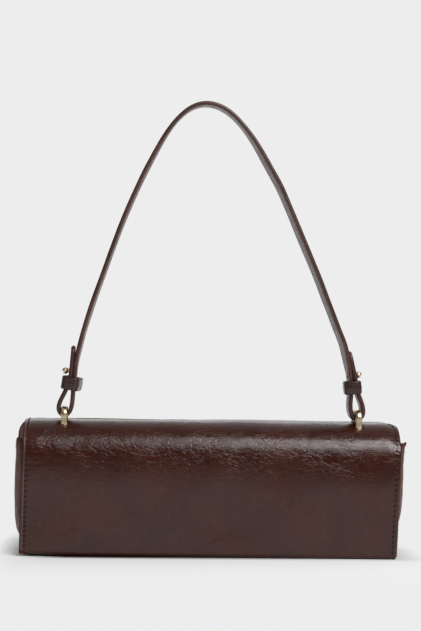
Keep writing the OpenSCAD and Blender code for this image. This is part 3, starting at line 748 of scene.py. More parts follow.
# The skin in three pieces: back with crown, flap front, front with half of the base
hingeBlend = ("bag", "flap_top", (0, -0.032, 0.078), (0, -0.020, 0.0915))
foldBlend = ("flap_top", "flap_front", (0, 0.022, 0.0959), (0, 0.032, 0.0859))
backPart = skinLayer(backSection, 1, 0.0, sJoin, bag["skinHalfWidth"], 0.0, bag["leather"],
                     bag["step"], bag["step"], backRelief, roundStart=False, roundEnd=False)
backSkin = dress(pieceOf("leather_back", backPart), bagLeather, leatherBack, bagEdgePaint)
settle(backSkin, ["body_wrap", "flap_top"], hingeBlend)

flapPart = skinLayer(backSection, 1, sJoin, sFlapEnd - 0.8, bag["skinHalfWidth"], 0.0, bag["leather"],
                     bag["flapStep"], bag["flapStep"], flapFrontRelief, roundStart=False, corner=bag["cornerRound"])
flapSkin = dress(pieceOf("leather_flap_front", flapPart), bagLeather, leatherBack, bagEdgePaint)
settle(flapSkin, ["flap_front"], foldBlend)

frontEnd = float(frontSection[1][-1])
frontPart = skinLayer(frontSection, -1, 0.0, frontEnd - 0.8, bag["skinHalfWidth"], 0.0, bag["leather"],
                      bag["frontStep"], bag["frontStep"], frontRelief, flare=False, waves=False, roundStart=False)
frontSkin = dress(pieceOf("leather_front", frontPart), bagLeather, leatherBack, bagEdgePaint)
settle(frontSkin, ["body_wrap"], "bag")

inset = bag["halfWidth"] - bag["stitchInset"]


# Two rows of stitches, one along each side edge of a skin
def sideRows(part, line):
    return [stitchesOnLayer(part, np.full(len(line), side * inset), line) for side in (-1, 1)]


threadBack = dress(pieceOf("thread_back", *sideRows(backPart, evenly(31.5, sJoin, 2.0))), bagThread)
settle(threadBack, [], hingeBlend)
corner = np.radians(np.linspace(0, 90, 12))
reach = bag["cornerRound"] - bag["stitchInset"]
lowEnd = sFlapEnd - bag["stitchInset"]
down = evenly(sJoin + 1, lowEnd - reach, 2.0)
uSide = np.concatenate([np.full(len(down), inset), inset - reach + reach * np.cos(corner)])
sSide = np.concatenate([down, lowEnd - reach + reach * np.sin(corner)])
uTurn, sTurn = np.concatenate([-uSide, uSide[::-1]]), np.concatenate([sSide, sSide[::-1]])
threadFlap = dress(pieceOf("thread_flap_front", stitchesOnLayer(flapPart, uTurn, sTurn)), bagThread)
settle(threadFlap, [], foldBlend)
topLine = evenly(-inset, inset, 2.0)
threadFront = dress(pieceOf("thread_front", *sideRows(frontPart, evenly(30.0, frontEnd - 4.0, 2.0)),
                            stitchesOnLayer(frontPart, topLine, np.full(len(topLine), frontEnd - 4.0))), bagThread)
settle(threadFront, [], "bag")
print("stage: leather skin made")


# Boards and linings that follow the skin

# The lining's depth under the skin: past the leather, and past the board too away from the edges
def liningDepth(extra, start, last=np.inf):
    def depth(uu, su):
        edge = np.minimum(bag["halfWidth"] - np.abs(uu), last - su)
        return bag["leather"] + 0.05 + bag["board"] * smooth((edge - start) / 5) + extra
    return depth


sBoardLow = lengthWhere(backSection, lambda y, z: (y < -20) & (z > 6))
sBoardHigh = lengthWhere(backSection, lambda y, z: (y < -20) & (z > 76))
sLiningLow = lengthWhere(backSection, lambda y, z: (y < -20) & (z > 78.6))
sCrownBoard = lengthWhere(backSection, lambda y, z: (z > 80) & (y > -23))
thickLining = bag["lining"]
# each layer: its extent along the section, half width, upper and lower depth, and grid steps
backBoard = skinLayer(backSection, 1, sBoardLow, sBoardHigh, 127.0, 1.62, 2.8, 4.0, 2.5)
crownBoard = skinLayer(backSection, 1, sCrownBoard, sJoin - 0.5, 130.0, 1.66, 2.6, 3.0, 2.0)
crownLining = skinLayer(backSection, 1, sLiningLow, sJoin, 133.0, liningDepth(0.0, 2.5),
                        liningDepth(thickLining, 2.5), 2.4, 1.6, roundEnd=False)
frontLining = skinLayer(backSection, 1, sJoin, sFlapEnd - 2.0, 133.0, liningDepth(0.0, 1.5, sFlapEnd),
                        liningDepth(thickLining, 1.5, sFlapEnd), 2.4, 1.8, roundStart=False,
                        corner=bag["cornerRound"] - 1)
for name, part, finish, node, moves, slot in (
        ("board_back", backBoard, boardSheet, "back_stiffener", "bag", "board"),
        ("board_crown", crownBoard, boardSheet, "flap_top_board", hingeBlend, "board"),
        ("lining_crown", crownLining, liningCloth, "flap_top_lining", hingeBlend, "lining_fabric"),
        ("lining_flap_front", frontLining, liningCloth, "flap_front_lining", foldBlend, "lining_fabric")):
    settle(dress(pieceOf(name, part), finish, finish, finish), [node], moves)
print("stage: boards and flap linings made")


# Gussets, the soft ends of the bag

gusset = {"thick": 1.2, "hemThick": 1.7, "hemHigh": 6.5, "low": 2.4, "top": 80.6, "step": 1.1, "fold": 129.6,
          "riseLeft": 2.4, "riseRight": 1.9,
          "earLeft": (0.8, -12, 9.0, 79, 6.0), "earRight": (2.5, -15, 7.0, 82.4, 3.0),
          "bulgeHeights": [0, 6, 10, 14, 17, 21, 27, 32, 40, 50, 60, 66, 75, 84],
          "bulgeLeft": [0, 0.1, 0.36, 0.64, 0.75, 0.81, 0.86, 0.89, 0.93, 0.95, 0.98, 0.99, 0.98, 0.95],
          "bulgeRight": [0, 0.08, 0.3, 0.56, 0.66, 0.74, 0.84, 0.89, 0.93, 0.92, 0.92, 0.94, 1.0, 0.95]}
gussetPlan = splineThrough([
    (135, -29.8), (131.8, -29.8), (129.6, -29.35), (129.8, -28), (133, -25.5), (137.5, -18), (140.3, -9), (141, -2),
    (140.3, 5), (137.5, 14), (133, 21.5), (129.8, 24), (129.6, 25.25), (131.8, 25.7), (135, 25.7)])


# Place on the gusset's middle surface: its plan line, pulled out by the bulge at that height, with slow waves
# and an ear, a bell-shaped swelling in the top corner near the back
def gussetPoint(t, z, side):
    line = readAt(gussetPlan, t)
    x, y = line[..., 0], line[..., 1]
    y = y + panelLean(z) * smooth((-4 - y) / 24)
    end = "Right" if side > 0 else "Left"
    grow = np.interp(z, gusset["bulgeHeights"], gusset["bulge" + end])
    inside = (line[..., 1] > -28.9) & (line[..., 1] < 24.8)
    x = np.where(inside, gusset["fold"] + (x - gusset["fold"]) * grow, x)
    out, earY, wide, earZ, high = gusset["ear" + end]
    x = x + np.where(inside, out * np.exp(-(((y - earY) / wide) ** 2) - ((z - earZ) / high) ** 2), 0)
    wave = 0.5 * softNoise(y, z, 17, 19, 41 + side) + 0.16 * softNoise(y, z, 6, 6.5, 43 + side)
    calm = smooth((y + 28) / 8) * smooth((24 - y) / 8) * smooth((z - 6) / 12)
    x = x + wave * calm
    return leanX(side * x, z), y


# A gusset: its middle surface over plan length and height, with half its thickness to each side. The hem is thicker
# and ends in a stitched line, and the top edge falls to the lower front panel and rises towards the back.
def makeGusset(end, side):
    total, hemLow = gussetPlan[1][-1], gusset["top"] - gusset["hemHigh"]
    t = evenly(0, total, gusset["step"])
    z = np.concatenate([evenly(gusset["low"], hemLow - 0.6, gusset["step"]), hemLow + np.array([-0.3, 0.0, 0.4]),
                        evenly(hemLow + 1.2, gusset["top"], 0.9)])
    tt, zz = np.broadcast_to(t[None], (len(z), len(t))), np.broadcast_to(z[:, None], (len(z), len(t)))
    lineY = readAt(gussetPlan, tt)[..., 1]
    fall = 3.0 * smooth((lineY - 6) / 19) * smooth((zz - 60) / 20)
    highest = gusset["riseRight" if side > 0 else "riseLeft"]
    rise = highest * np.exp(-(((lineY + 15) / 9.0) ** 2)) * smooth((zz - 64) / 16)
    flatZ = zz
    zz = zz - fall + rise
    x, y = gussetPoint(tt, zz, side)
    after, before = [gussetPoint(np.clip(tt + shift, 0, total), zz, side) for shift in (0.3, -0.3)]
    way = unit(np.stack(after, -1) - np.stack(before, -1))
    normal = np.stack([way[..., 1], -way[..., 0]], -1) * side
    hem = smooth((flatZ - hemLow + 0.3) / 0.7) * smooth((lineY + 28) / 3) * smooth((24 - lineY) / 3)
    out = gusset["thick"] / 2 + hem * (gusset["hemThick"] - gusset["thick"]) / 2
    crinkles = 0.05 * softNoise(lineY, zz, 3.3, 3.1, 51 + side)
    crinkles -= 0.12 * hem * np.exp(-(((flatZ - gusset["top"] + 5.2) / 0.5) ** 2))
    outer = np.stack([x + normal[..., 0] * (out + crinkles), y + normal[..., 1] * (out + crinkles), zz], -1)
    inner = np.stack([x - normal[..., 0] * out, y - normal[..., 1] * out, zz], -1)
    uv = np.stack([tt + 400 * side, zz], -1)
    part = sheetOf(outer, inner, uv, field=0.6 + 0 * zz, edgePaint=0)
    piece = dress(pieceOf("leather_gusset_" + end, part), gussetLeather, leatherBack, bagEdgePaint)
    settle(piece, ["gusset_" + end], "bag")


makeGusset("left", -1)
makeGusset("right", 1)
print("stage: gussets made")


# Body lining: walls that follow the gussets, with soft waves, and a floor

lining = {"gap": 1.05, "thick": 0.8, "low": 4.0, "backTop": 77.6, "sideTop": 79.4, "frontTop": 76.4, "hemHigh": 9.0,
          "frontY": 24.7, "backY": -28.75, "rows": 46}


# The lining's plan at a height: both gusset lines set in by the gap, joined by straight runs at the front and back
def liningPlan(z):
    t = evenly(8.0, gussetPlan[1][-1] - 8.0, 1.4)
    right, left = [np.stack(gussetPoint(t, np.full(len(t), z), side), -1) for side in (1, -1)]
    across = evenly(0, 1, 1 / 90.0)[1:-1, None]
    front = right[-1] + (left[-1] - right[-1]) * across
    back = left[0] + (right[0] - left[0]) * across
    front[:, 1] = lining["frontY"]
    back[:, 1] = lining["backY"] + panelLean(z)
    ring = np.concatenate([right, front, left[::-1], back])
    way = unit(np.roll(ring, -1, 0) - np.roll(ring, 1, 0))
    normal = np.stack([way[:, 1], -way[:, 0]], -1)
    isEnd = np.repeat([1.0, 0.0, 1.0, 0.0], [len(right), len(front), len(left), len(back)])
    ring = ring - normal * (isEnd * lining["gap"])[:, None]
    ring[:, 1] = np.clip(ring[:, 1], lining["backY"] + panelLean(z), lining["frontY"])
    return ring, normal


rings = [liningPlan(z) for z in np.linspace(lining["low"], 80, lining["rows"])]
plan = np.array([r[0] for r in rings]).transpose(1, 0, 2)   # around, height, xy
normals = np.array([r[1] for r in rings]).transpose(1, 0, 2)
tops = [lining["backTop"], lining["sideTop"], lining["sideTop"], lining["frontTop"]]
topZ = np.interp(plan[:, -1:, 1], [-28.8, -20, 8, lining["frontY"]], tops)
zPlan = lining["low"] + (topZ - lining["low"]) * np.linspace(0, 1, lining["rows"])[None, :]
around = np.cumsum(np.linalg.norm(plan[:, 20] - np.roll(plan[:, 20], 1, 0), axis=-1))
aroundGrid = np.broadcast_to(around[:, None], zPlan.shape)
slack = 0.45 * softNoise(plan[..., 0] + plan[..., 1] * 3, zPlan, 26, 21, 61)
slack = slack * smooth((zPlan - 6) / 20) * smooth((topZ - 4 - zPlan) / 14)
slack = slack - np.abs(slack)   # folds fall inwards only
hemEdge = smooth((zPlan - (topZ - lining["hemHigh"])) / 0.8)
half = lining["thick"] / 2 + 0.18 * hemEdge
middle = plan + normals * (slack - 0.18 * hemEdge)[..., None]
outerWall = np.concatenate([middle + normals * half[..., None], zPlan[..., None]], -1)
innerWall = np.concatenate([middle - normals * half[..., None], zPlan[..., None]], -1)
walls = sheetOf(outerWall, innerWall, np.stack([aroundGrid, zPlan], -1), closed=True, edgePaint=0)
fx, fy = np.meshgrid(evenly(-127.6, 127.6, 4.0), evenly(-27.9, 23.8, 4.0))
sag = 0.12 * softNoise(fx, fy, 22, 20, 63)
floorTop = np.stack([leanX(fx, 0 * fx), fy, 4.5 + sag], -1)
floorLow = np.stack([leanX(fx, 0 * fx), fy, 3.72 + 0 * fx], -1)
floorSheet = sheetOf(floorTop, floorLow, np.stack([fx, fy], -1), edgePaint=0)
bodyLining = dress(pieceOf("lining_body", walls, floorSheet), liningCloth, liningCloth)
settle(bodyLining, ["body_lining"], "bag")

pocket = {"halfWidth": 70.0, "low": 20.0, "high": 70.0, "hem": 8.0, "pitch": 2.8, "stitch": 2.1, "thread": 0.5}
px, pz = np.meshgrid(evenly(-pocket["halfWidth"], pocket["halfWidth"], 2.2),
                     evenly(pocket["low"], pocket["high"], 1.6))
edgeIn = smooth((pocket["halfWidth"] - np.abs(px)) / 12) * smooth((pz - pocket["low"]) / 12)
puff = edgeIn * (0.5 + 0.9 * smooth((pz - 45) / 25)) + 0.12 * softNoise(px, pz, 18, 15, 65) * edgeIn
pocketHem = 0.3 * smooth((pz - (pocket["high"] - pocket["hem"])) / 0.8)
pocketBack = np.stack([leanX(px, pz), -28.25 + panelLean(pz) + puff, pz], -1)
pocketFront = np.stack([leanX(px, pz), -27.5 + panelLean(pz) + puff + pocketHem, pz], -1)
pocketPart = sheetOf(pocketFront, pocketBack, np.stack([px, pz], -1), edgePaint=0)
innerPocket = dress(pieceOf("lining_pocket", pocketPart), liningCloth, liningCloth)
settle(innerPocket, ["inner_pocket"], "bag")


# Stitches along a line on the pocket's front
def pocketStitches(xLine, zLine):
    path = np.stack([xLine, zLine], -1)
    along = runningLength(path)
    marks = np.arange(pocket["pitch"] / 2, along[-1], pocket["pitch"])
    x, z = np.interp(marks, along, xLine), np.interp(marks, along, zLine)
    wayX, wayZ = [np.interp(marks + 0.5, along, line) - np.interp(marks - 0.5, along, line)
                  for line in (xLine, zLine)]
    way = unit(np.stack([wayX, 0 * x, wayZ], -1))
    column = np.rint((x - px[0, 0]) / (px[0, 1] - px[0, 0])).astype(int)
    row = np.rint((z - pz[0, 0]) / (pz[1, 0] - pz[0, 0])).astype(int)
    y = pocketFront[np.clip(row, 0, px.shape[0] - 1), np.clip(column, 0, px.shape[1] - 1), 1]
    up = np.tile([0.0, 1.0, 0.0], (len(x), 1))
    return stitchesAt(np.stack([leanX(x, z), y + 0.08, z], -1), way, up, pocket["stitch"], pocket["thread"], 0.25)


side = pocket["halfWidth"] - 2.2
pocketU = np.array([-side, -side, side, side])
pocketZ = np.array([pocket["high"] - 2, pocket["low"] + 2.2, pocket["low"] + 2.2, pocket["high"] - 2])
hemZ = np.full(2, pocket["high"] - pocket["hem"] + 1.2)
threadPocket = pieceOf("thread_pocket", pocketStitches(pocketU, pocketZ),
                       pocketStitches(np.array([-side, side]), hemZ))
settle(dress(threadPocket, bagThread), [], "bag")
print("stage: lining and pocket made")


# Strap: one two-layer ribbon from tail to tail, with a loop at each end

strap = {"width": 18.0, "thick": 3.0, "y": -0.48, "step": 1.15, "stitchSide": 6.4, "pitch": 3.25, "stitch": 2.4,
         "thread": 0.5, "twistRight": 5.6, "twistLeft": 4.2, "tipRound": 5.0}
leftEnd = [(-101.3, 149.2), (-101.35, 146.6), (-101.6, 143.0), (-101.9, 139.4), (-102.2, 135.8), (-102.5, 132.0),
           (-103.1, 127.2), (-104.3, 122.5), (-106.3, 117.7), (-108.0, 114.0), (-109.8, 110.3), (-111.0, 106.8),
           (-111.3, 104.4), (-110.6, 101.9), (-109.2, 100.3), (-107.0, 99.6), (-104.9, 100.2), (-103.3, 102.0),
           (-102.3, 104.5), (-101.75, 107.0), (-101.4, 110.5), (-101.15, 114.1), (-100.95, 117.7), (-100.55, 122.2),
           (-100.0, 127.0), (-99.65, 131.5)]
leftArm = [(-99.2, 136.2), (-98.45, 141.0), (-96.45, 150.2), (-93.55, 161.8), (-90.15, 173.4), (-86.4, 185.1),
           (-82.4, 196.7), (-78.35, 208.4), (-74.35, 220.1), (-70.2, 231.8), (-65.85, 243.4), (-61.1, 255.1),
           (-56.0, 266.9), (-50.5, 278.6), (-44.65, 290.3), (-38.3, 302.1), (-30.3, 313.9), (-24.75, 319.9),
           (-17.2, 325.4)]
rightArm = [(100.15, 136.0), (98.8, 142.4), (96.1, 153.2), (91.4, 164.8), (86.8, 176.4), (82.1, 188), (77.5, 199.6),
            (72.6, 211.2), (67.6, 222.7), (62.4, 234.3), (57.5, 245.9), (52.4, 257.4), (46.9, 269), (40.4, 280.5),
            (33.8, 292.1), (26.5, 303.6), (17.3, 315), (11.35, 320.7), (2.6, 326.0)]
rightEnd = [(101.1, 130.6), (101.6, 125.6), (101.85, 121.0), (101.8, 117.0), (101.6, 113.3), (101.4, 109.7),
            (101.6, 106.0), (102.3, 102.9), (103.4, 100.7), (105.0, 99.5), (107.2, 99.5), (109.2, 100.4),
            (110.5, 102.4), (110.85, 105.0), (110.1, 109.6), (108.8, 113.3), (107.3, 117.0), (106.1, 121.2),
            (105.2, 125.8), (104.3, 130.6), (103.2, 135.2), (102.3, 139.0), (101.5, 142.6), (100.75, 146.1),
            (100.35, 148.2)]
ribbonLine = splineThrough(leftEnd + leftArm + [(-8.0, 327.9)] + rightArm[::-1] + rightEnd)
ribbonLength = ribbonLine[1][-1]
rs = evenly(0.9, ribbonLength - 0.9, strap["step"])
centre, way = readAt(ribbonLine, rs), directionAt(ribbonLine, rs)
apexAt = ribbonLine[1][np.argmax(ribbonLine[0][:, 1])]
tip = np.minimum(rs, ribbonLength - rs)
onArm = smooth((centre[:, 1] - 122) / 26) * smooth((318 - centre[:, 1]) / 30) * smooth((tip - 60) / 40)
twist = np.radians(np.where(rs < apexAt, strap["twistLeft"], strap["twistRight"])) * onArm
# the ribbon's face looks away from the hollow under the strap: (-way z, way x) turned by the twist about the way
face = np.stack([-way[:, 1], 0 * rs, way[:, 0]], -1)
wide = np.stack([0 * rs, np.ones(len(rs)), 0 * rs], -1)
faceTurned = face * np.cos(twist)[:, None] + wide * np.sin(twist)[:, None]
wideTurned = wide * np.cos(twist)[:, None] - face * np.sin(twist)[:, None]
place3 = np.stack([centre[:, 0], np.full(len(rs), strap["y"]), centre[:, 1]], -1)
halfWide, tipRound = strap["width"] / 2, strap["tipRound"]
cornerArc = np.sqrt(np.clip(tipRound**2 - (tipRound - tip) ** 2, 0.3, None))
narrow = np.where(tip < tipRound, (halfWide - tipRound + cornerArc) / halfWide, 1.0)
across = (np.linspace(-1, 1, 25) * (halfWide - strap["thick"] / 2 * 0.9))[None, :] * narrow[:, None]
# padded in the middle, pressed in along the stitches
pad = 0.16 * np.cos(np.clip(np.abs(across) / 7.0, 0, 1) * np.pi / 2)
pad = pad - 0.22 * np.exp(-(((np.abs(across) - strap["stitchSide"]) / 0.8) ** 2))
wavyFace = 0.05 * softNoise(across + 60, np.broadcast_to(rs[:, None], across.shape), 5, 9, 71)
halfThick = strap["thick"] / 2 - 0.05
midSheet = place3[:, None] + wideTurned[:, None] * across[..., None]
outerFace = midSheet + faceTurned[:, None] * (halfThick + pad + wavyFace)[..., None]
innerFace = midSheet - faceTurned[:, None] * (halfThick + pad - wavyFace)[..., None]
ribbonUv = np.stack([across, np.broadcast_to(rs[:, None], across.shape)], -1)
ribbonPart = sheetOf(outerFace, innerFace, ribbonUv)
ribbon = dress(pieceOf("strap_ribbon", ribbonPart), strapLeather, innerStrapLeather, edgePaint)
swingBlend = ("flap_top", "strap", (0, -0.00048, 0.100), (0, -0.00048, 0.116))
settle(ribbon, ["strap", "strap_loop_left", "strap_loop_right"], swingBlend)


# A row of slanted stitches along the strap, beside its middle line, on the outer face (1) or the inner one (-1)
def ribbonStitches(sideAt, onOuter):
    marks = np.arange(5.0, ribbonLength - 5.0, strap["pitch"])
    at, w, n = [np.stack([np.interp(marks, rs, values[:, k]) for k in range(3)], -1)
                for values in (place3, wideTurned, faceTurned)]
    d = directionAt(ribbonLine, marks)
    d = unit(np.stack([d[:, 0], 0 * marks, d[:, 1]], -1) + w * bag["stitchTilt"])
    place = at + w * sideAt + n * onOuter * (halfThick - 0.14)
    return stitchesAt(place, d, n * onOuter, strap["stitch"], strap["thread"], 0.22)


stitchRows = [ribbonStitches(a * strap["stitchSide"], b) for a in (-1, 1) for b in (-1, 1)]
settle(dress(pieceOf("thread_strap", *stitchRows), strapThread), [], swingBlend)
print("stage: strap made")


# Keepers: loose leather bands round both strands, each turned and tilted as it hangs

keeper = {"innerX": 9.8, "innerY": 19.2, "wall": 1.5, "high": 9.5, "power": 6.5, "around": 96, "rows": 13}
# middle of each band (x, z), and its turn and tilt in degrees
keeperPlaces = {"left": (-1, (-101.9, 122.3), -9.5, 11.0), "right": (1, (103.3, 122.1), -4.6, -5.0)}


# A band whose opening is a rounded rectangle: each coordinate is the half size times the cosine or sine, its size
# taken to the power 2 / 6.5. The wall swells in the middle and has two fine creases round it.
def makeKeeper(end, side, place, yaw, tilt):
    turns = np.linspace(0, 2 * np.pi, 88, endpoint=False)
    cx, cy = [np.sign(c) * np.abs(c) ** (2 / keeper["power"]) for c in (np.cos(turns), np.sin(turns))]
    line = np.stack([cx * keeper["innerX"] / 2, cy * keeper["innerY"] / 2], -1)
    line = np.concatenate([line, line[:1]])
    along = runningLength(line)
    even = np.linspace(0, along[-1], keeper["around"] + 1)[:-1]
    inner = np.stack([np.interp(even, along, line[:, k]) for k in range(2)], -1)
    way = unit(np.roll(inner, -1, 0) - np.roll(inner, 1, 0))
    normal = np.stack([way[:, 1], -way[:, 0]], -1)
    zGrid = np.tile(np.linspace(-1, 1, keeper["rows"]), (len(even), 1))
    high = zGrid * (keeper["high"] / 2 - 0.75)
    eGrid = np.broadcast_to(even[:, None], zGrid.shape)
    swell = 0.22 * (1 - zGrid**2) + 0.10 * softNoise(eGrid, high, 6, 3, 81 + side)
    crease = -0.16 * np.exp(-(((high - 2.3 - 0.4 * np.sin(eGrid / 4)) / 0.42) ** 2))
    crease -= 0.1 * np.exp(-(((high - 0.9 - 0.3 * np.sin(eGrid / 3 + 1)) / 0.4) ** 2))
    innerAt = np.concatenate([np.broadcast_to(inner[:, None], zGrid.shape + (2,)), high[..., None]], -1)
    outXY = inner[:, None] + normal[:, None] * (keeper["wall"] + swell + crease)[..., None]
    outerAt = np.concatenate([outXY, high[..., None]], -1)
    turn = np.array(Matrix.Rotation(np.radians(yaw), 3, "Z") @ Matrix.Rotation(np.radians(tilt), 3, "Y"))
    centreAt = np.array([place[0], strap["y"], place[1]])
    uv = np.stack([eGrid, high], -1)
    part = sheetOf(outerAt @ turn.T + centreAt, innerAt @ turn.T + centreAt, uv, closed=True)
    piece = dress(pieceOf("keeper_band_" + end, part), keeperLeather, leatherBack, keeperLeather)
    settle(piece, ["strap_keeper_" + end], "keeper_" + end)


for end, given in keeperPlaces.items():
    makeKeeper(end, *given)
print("stage: keepers made")


# Arches: a slightly flattened bar, straight up, tightly bent and level over the strap's loop

arch = {"halfWide": 2.35, "halfDeep": 2.0, "legY": 12.3, "foot": 89.2, "top": 103.75, "bend": 3.9, "sides": 28,
        "power": 2.7}


# A bar swept along legs, quarter-circle bends and level top. Its section is a rounded rectangle like the keepers',
# and it is a tenth thicker just over the crown.
def makeArch(end, side):
    bend, leg, top, sides = arch["bend"], arch["legY"], arch["top"], arch["sides"]
    line = [(-leg, z) for z in np.linspace(arch["foot"], top - bend, 9)]
    corner = np.radians(np.linspace(0, 90, 13)[1:])
    line += [(-leg + bend - bend * np.cos(a), top - bend + bend * np.sin(a)) for a in corner]
    line += [(y, top) for y in np.linspace(-leg + bend, leg - bend, 13)[1:-1]]
    line = np.array(line + [(-y, z) for y, z in line[:21][::-1]])
    way = unit(np.gradient(line, axis=0))
    turn = np.arange(sides) / sides * 2 * np.pi
    across, outwards = [half * np.sign(c) * np.abs(c) ** (2 / arch["power"]) for half, c in (
        (arch["halfWide"], np.cos(turn)), (arch["halfDeep"], np.sin(turn)))]
    foot = 1 + 0.10 * np.exp(-((line[:, 1] - arch["foot"] - 4) / 3.0) ** 2)
    outwards = outwards[None, :] * foot[:, None]
    x = side * bag["archX"] + across[None, :] * foot[:, None]
    y = strap["y"] + line[:, 0, None] - way[:, 1, None] * outwards
    z = line[:, 1, None] + way[:, 0, None] * outwards
    points = np.stack([x, y, z], -1).reshape(-1, 3)
    numbers = np.arange(len(points)).reshape(-1, sides)
    faces = [ringFaces(numbers).reshape(-1, 4)]
    k = np.arange(1, sides // 2 - 1)
    for row, flip in ((numbers[0], True), (numbers[-1], False)):
        cap = np.stack([row[k], row[k + 1], row[sides - 1 - k], row[sides - k]], -1)
        faces.append(cap[:, ::-1] if flip else cap)
    piece = dress(makeMesh("arch_bar_" + end, points, outward(points, np.concatenate(faces))), paleGold)
    settle(piece, ["strap_arch_" + end], "flap_top")


makeArch("left", -1)
makeArch("right", 1)


# Ball studs and their slotted screws, at one height: each has its place across and the way it points, and a screw
# also how much of its head's height stands out of the leather

studs = {"z": 131.5, "sides": 24, "slotHalf": 0.4, "slotDeep": 0.5, "balls": ((-106.9, -1), (107.7, 1)),
         "screws": ((-98.3, 1, 0.3), (99.6, -1, 1.0)), "radius": 2.35, "sunk": -2.07}


# A turned shape from its profile of (distance out, radius), with a straight cut across its end if it has a slot
def turned(profile, x, outX, slot=None):
    profile = np.array(profile, float)
    turn = np.arange(studs["sides"]) / studs["sides"] * 2 * np.pi
    out = profile[:, 0, None] + 0 * turn
    y, z = [profile[:, 1, None] * wave[None] for wave in (np.cos(turn), np.sin(turn))]
    if slot is not None:
        end = (profile[:, 0] >= profile[:, 0].max() - 0.01)[:, None]
        out = np.where(end & (np.abs(z) < slot), out - studs["slotDeep"], out)
    points = np.stack([x + outX * out, strap["y"] + y, studs["z"] + z], -1).reshape(-1, 3)
    numbers = np.arange(len(points)).reshape(-1, studs["sides"])
    faces = ringFaces(numbers).reshape(-1, 4)
    paint = np.zeros(len(faces), int)
    return {"points": points, "faces": outward(points, faces), "uv": points[:, :2], "paint": paint}


ball = [(studs["radius"] * -np.cos(a), studs["radius"] * np.sin(a)) for a in np.radians(np.linspace(28, 180, 14))]
studProfile = [(-4.7, 0.02), (-4.7, 1.1), (-2.75, 1.1), (-2.7, 1.9), (-2.3, 1.9), (-2.2, 1.15)]
studProfile += [(max(d, studs["sunk"]), max(r, 0.02)) for d, r in ball]
screwProfile = [(-2.2, 0.02), (-2.2, 1.0), (0, 1.0), (0.0, 2.5), (0.75, 2.6), (1.0, 2.35), (1.05, 1.6), (1.05, 0.8),
                (1.05, 0.02)]
ballParts = [turned(studProfile, x, way) for x, way in studs["balls"]]
screwParts = [turned([(d * high if d > 0 else d, r) for d, r in screwProfile], x, way, studs["slotHalf"])
              for x, way, high in studs["screws"]]
for name, parts, node in (("ball_studs", ballParts, "strap_studs"), ("slotted_screws", screwParts, "stud_screws")):
    settle(dress(pieceOf(name, *parts), paleGold, paleGold, paleGold), [node], "strap")
print("stage: arches and studs made")


# Carried-over CAD nodes: finish and smooth shading

carried = {
    "anchor_plate_left": plainSteel, "anchor_plate_right": plainSteel, "arch_screws": plainSteel,
    "front_magnet": plainSteel, "flap_magnet": plainSteel,
    "base_board": boardSolid, "front_stiffener": boardSolid, "flap_front_board": boardSolid}
for node, material in carried.items():
    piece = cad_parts[node]
    dress(piece, material)
    piece.data.shade_smooth()
    smoothing = piece.modifiers.new("edges", "EDGE_SPLIT")
    smoothing.split_angle = np.radians(32)
print("stage: CAD nodes dressed")


# Floor, backdrop, light and camera

studio = {"pale": 0.847, "ambient": 0.42, "frontDark": 0.07, "ceiling": (0.24, 0.42), "sides": 0.11,
          "footprint": (0.134, 0.032)}


# A flat card of the studio from its four corners, hidden from the camera unless it is the floor
def stageCard(name, corners, material, cameraSees=False):
    mesh = bpy.data.meshes.new(name)
    mesh.from_pydata(corners, [], [(0, 1, 2, 3)])
    card = bpy.data.objects.new(name, mesh)
    bpy.context.scene.collection.objects.link(card)
    card.data.materials.append(material)
    card.visible_camera = cameraSees
    return card


# Pale floor: partly lit by itself, so that the shadow stays faint, and plain pale further off.
# It is darker close under the panel's foot, where little light comes in, but not under the raised left corner.
def floorMaterial():
    m = newMaterial("paleFloor")
    parts = addNode(m, "SeparateXYZ", [addNode(m, "TexCoord", output="Object")], None)
    past = []
    for axis, edge in enumerate(studio["footprint"]):  # how far a place lies outside the bag's outline
        fromMiddle = addNode(m, "Math", [parts[axis]], operation="ABSOLUTE")
        distance = addNode(m, "Math", [fromMiddle, edge], operation="SUBTRACT")
        past.append(addNode(m, "Math", [distance, 0.0], operation="MAXIMUM"))
    sideways = addNode(m, "Math", [past[0], 5.0], operation="MULTIPLY")
    squared = addNode(m, "Math", [sideways, sideways], operation="MULTIPLY")
    squares = addNode(m, "Math", [past[1], past[1], squared], operation="MULTIPLY_ADD")
    away = addNode(m, "Math", [squares], operation="SQRT")
    glowPart = addNode(m, "MapRange", [away, 0.012, 0.11, 0.0, 1.0])
    leftPart = addNode(m, "MapRange", [parts[0], -0.132, -0.105, 0.0, 1.0])
    rightPart = addNode(m, "MapRange", [parts[0], -0.06, 0.10, 1.0, 0.25])
    dark = addNode(m, "MapRange", [past[1], 0.0, 0.009, 1.0, 0.0])
    for part in (leftPart, rightPart):
        dark = addNode(m, "Math", [dark, part], operation="MULTIPLY")
    tint = addNode(m, "Mix", {0: dark, 6: "#eaeaeb", 7: "#615550"}, 2, data_type="RGBA")
    diffuse = addNode(m, "BsdfDiffuse", {"Color": tint})
    glow = addNode(m, "Emission", {"Color": "#ffffff", "Strength": studio["pale"]})
    mix = addNode(m, "MixShader", [glowPart, diffuse, glow])
    addNode(m, "OutputMaterial", {"Surface": mix}, None)
    return m


# A card that glows evenly, or brighter towards the far wall
def glowCard(name, strength, further=None):
    m = newMaterial(name)
    if further is not None:
        parts = addNode(m, "SeparateXYZ", [addNode(m, "TexCoord", output="Object")], None)
        strength = addNode(m, "MapRange", [parts[1], -0.5, 2.4, strength, further], interpolation_type="SMOOTHSTEP")
    glow = addNode(m, "Emission", {"Color": "#ffffff", "Strength": strength})
    addNode(m, "OutputMaterial", {"Surface": glow}, None)
    return m


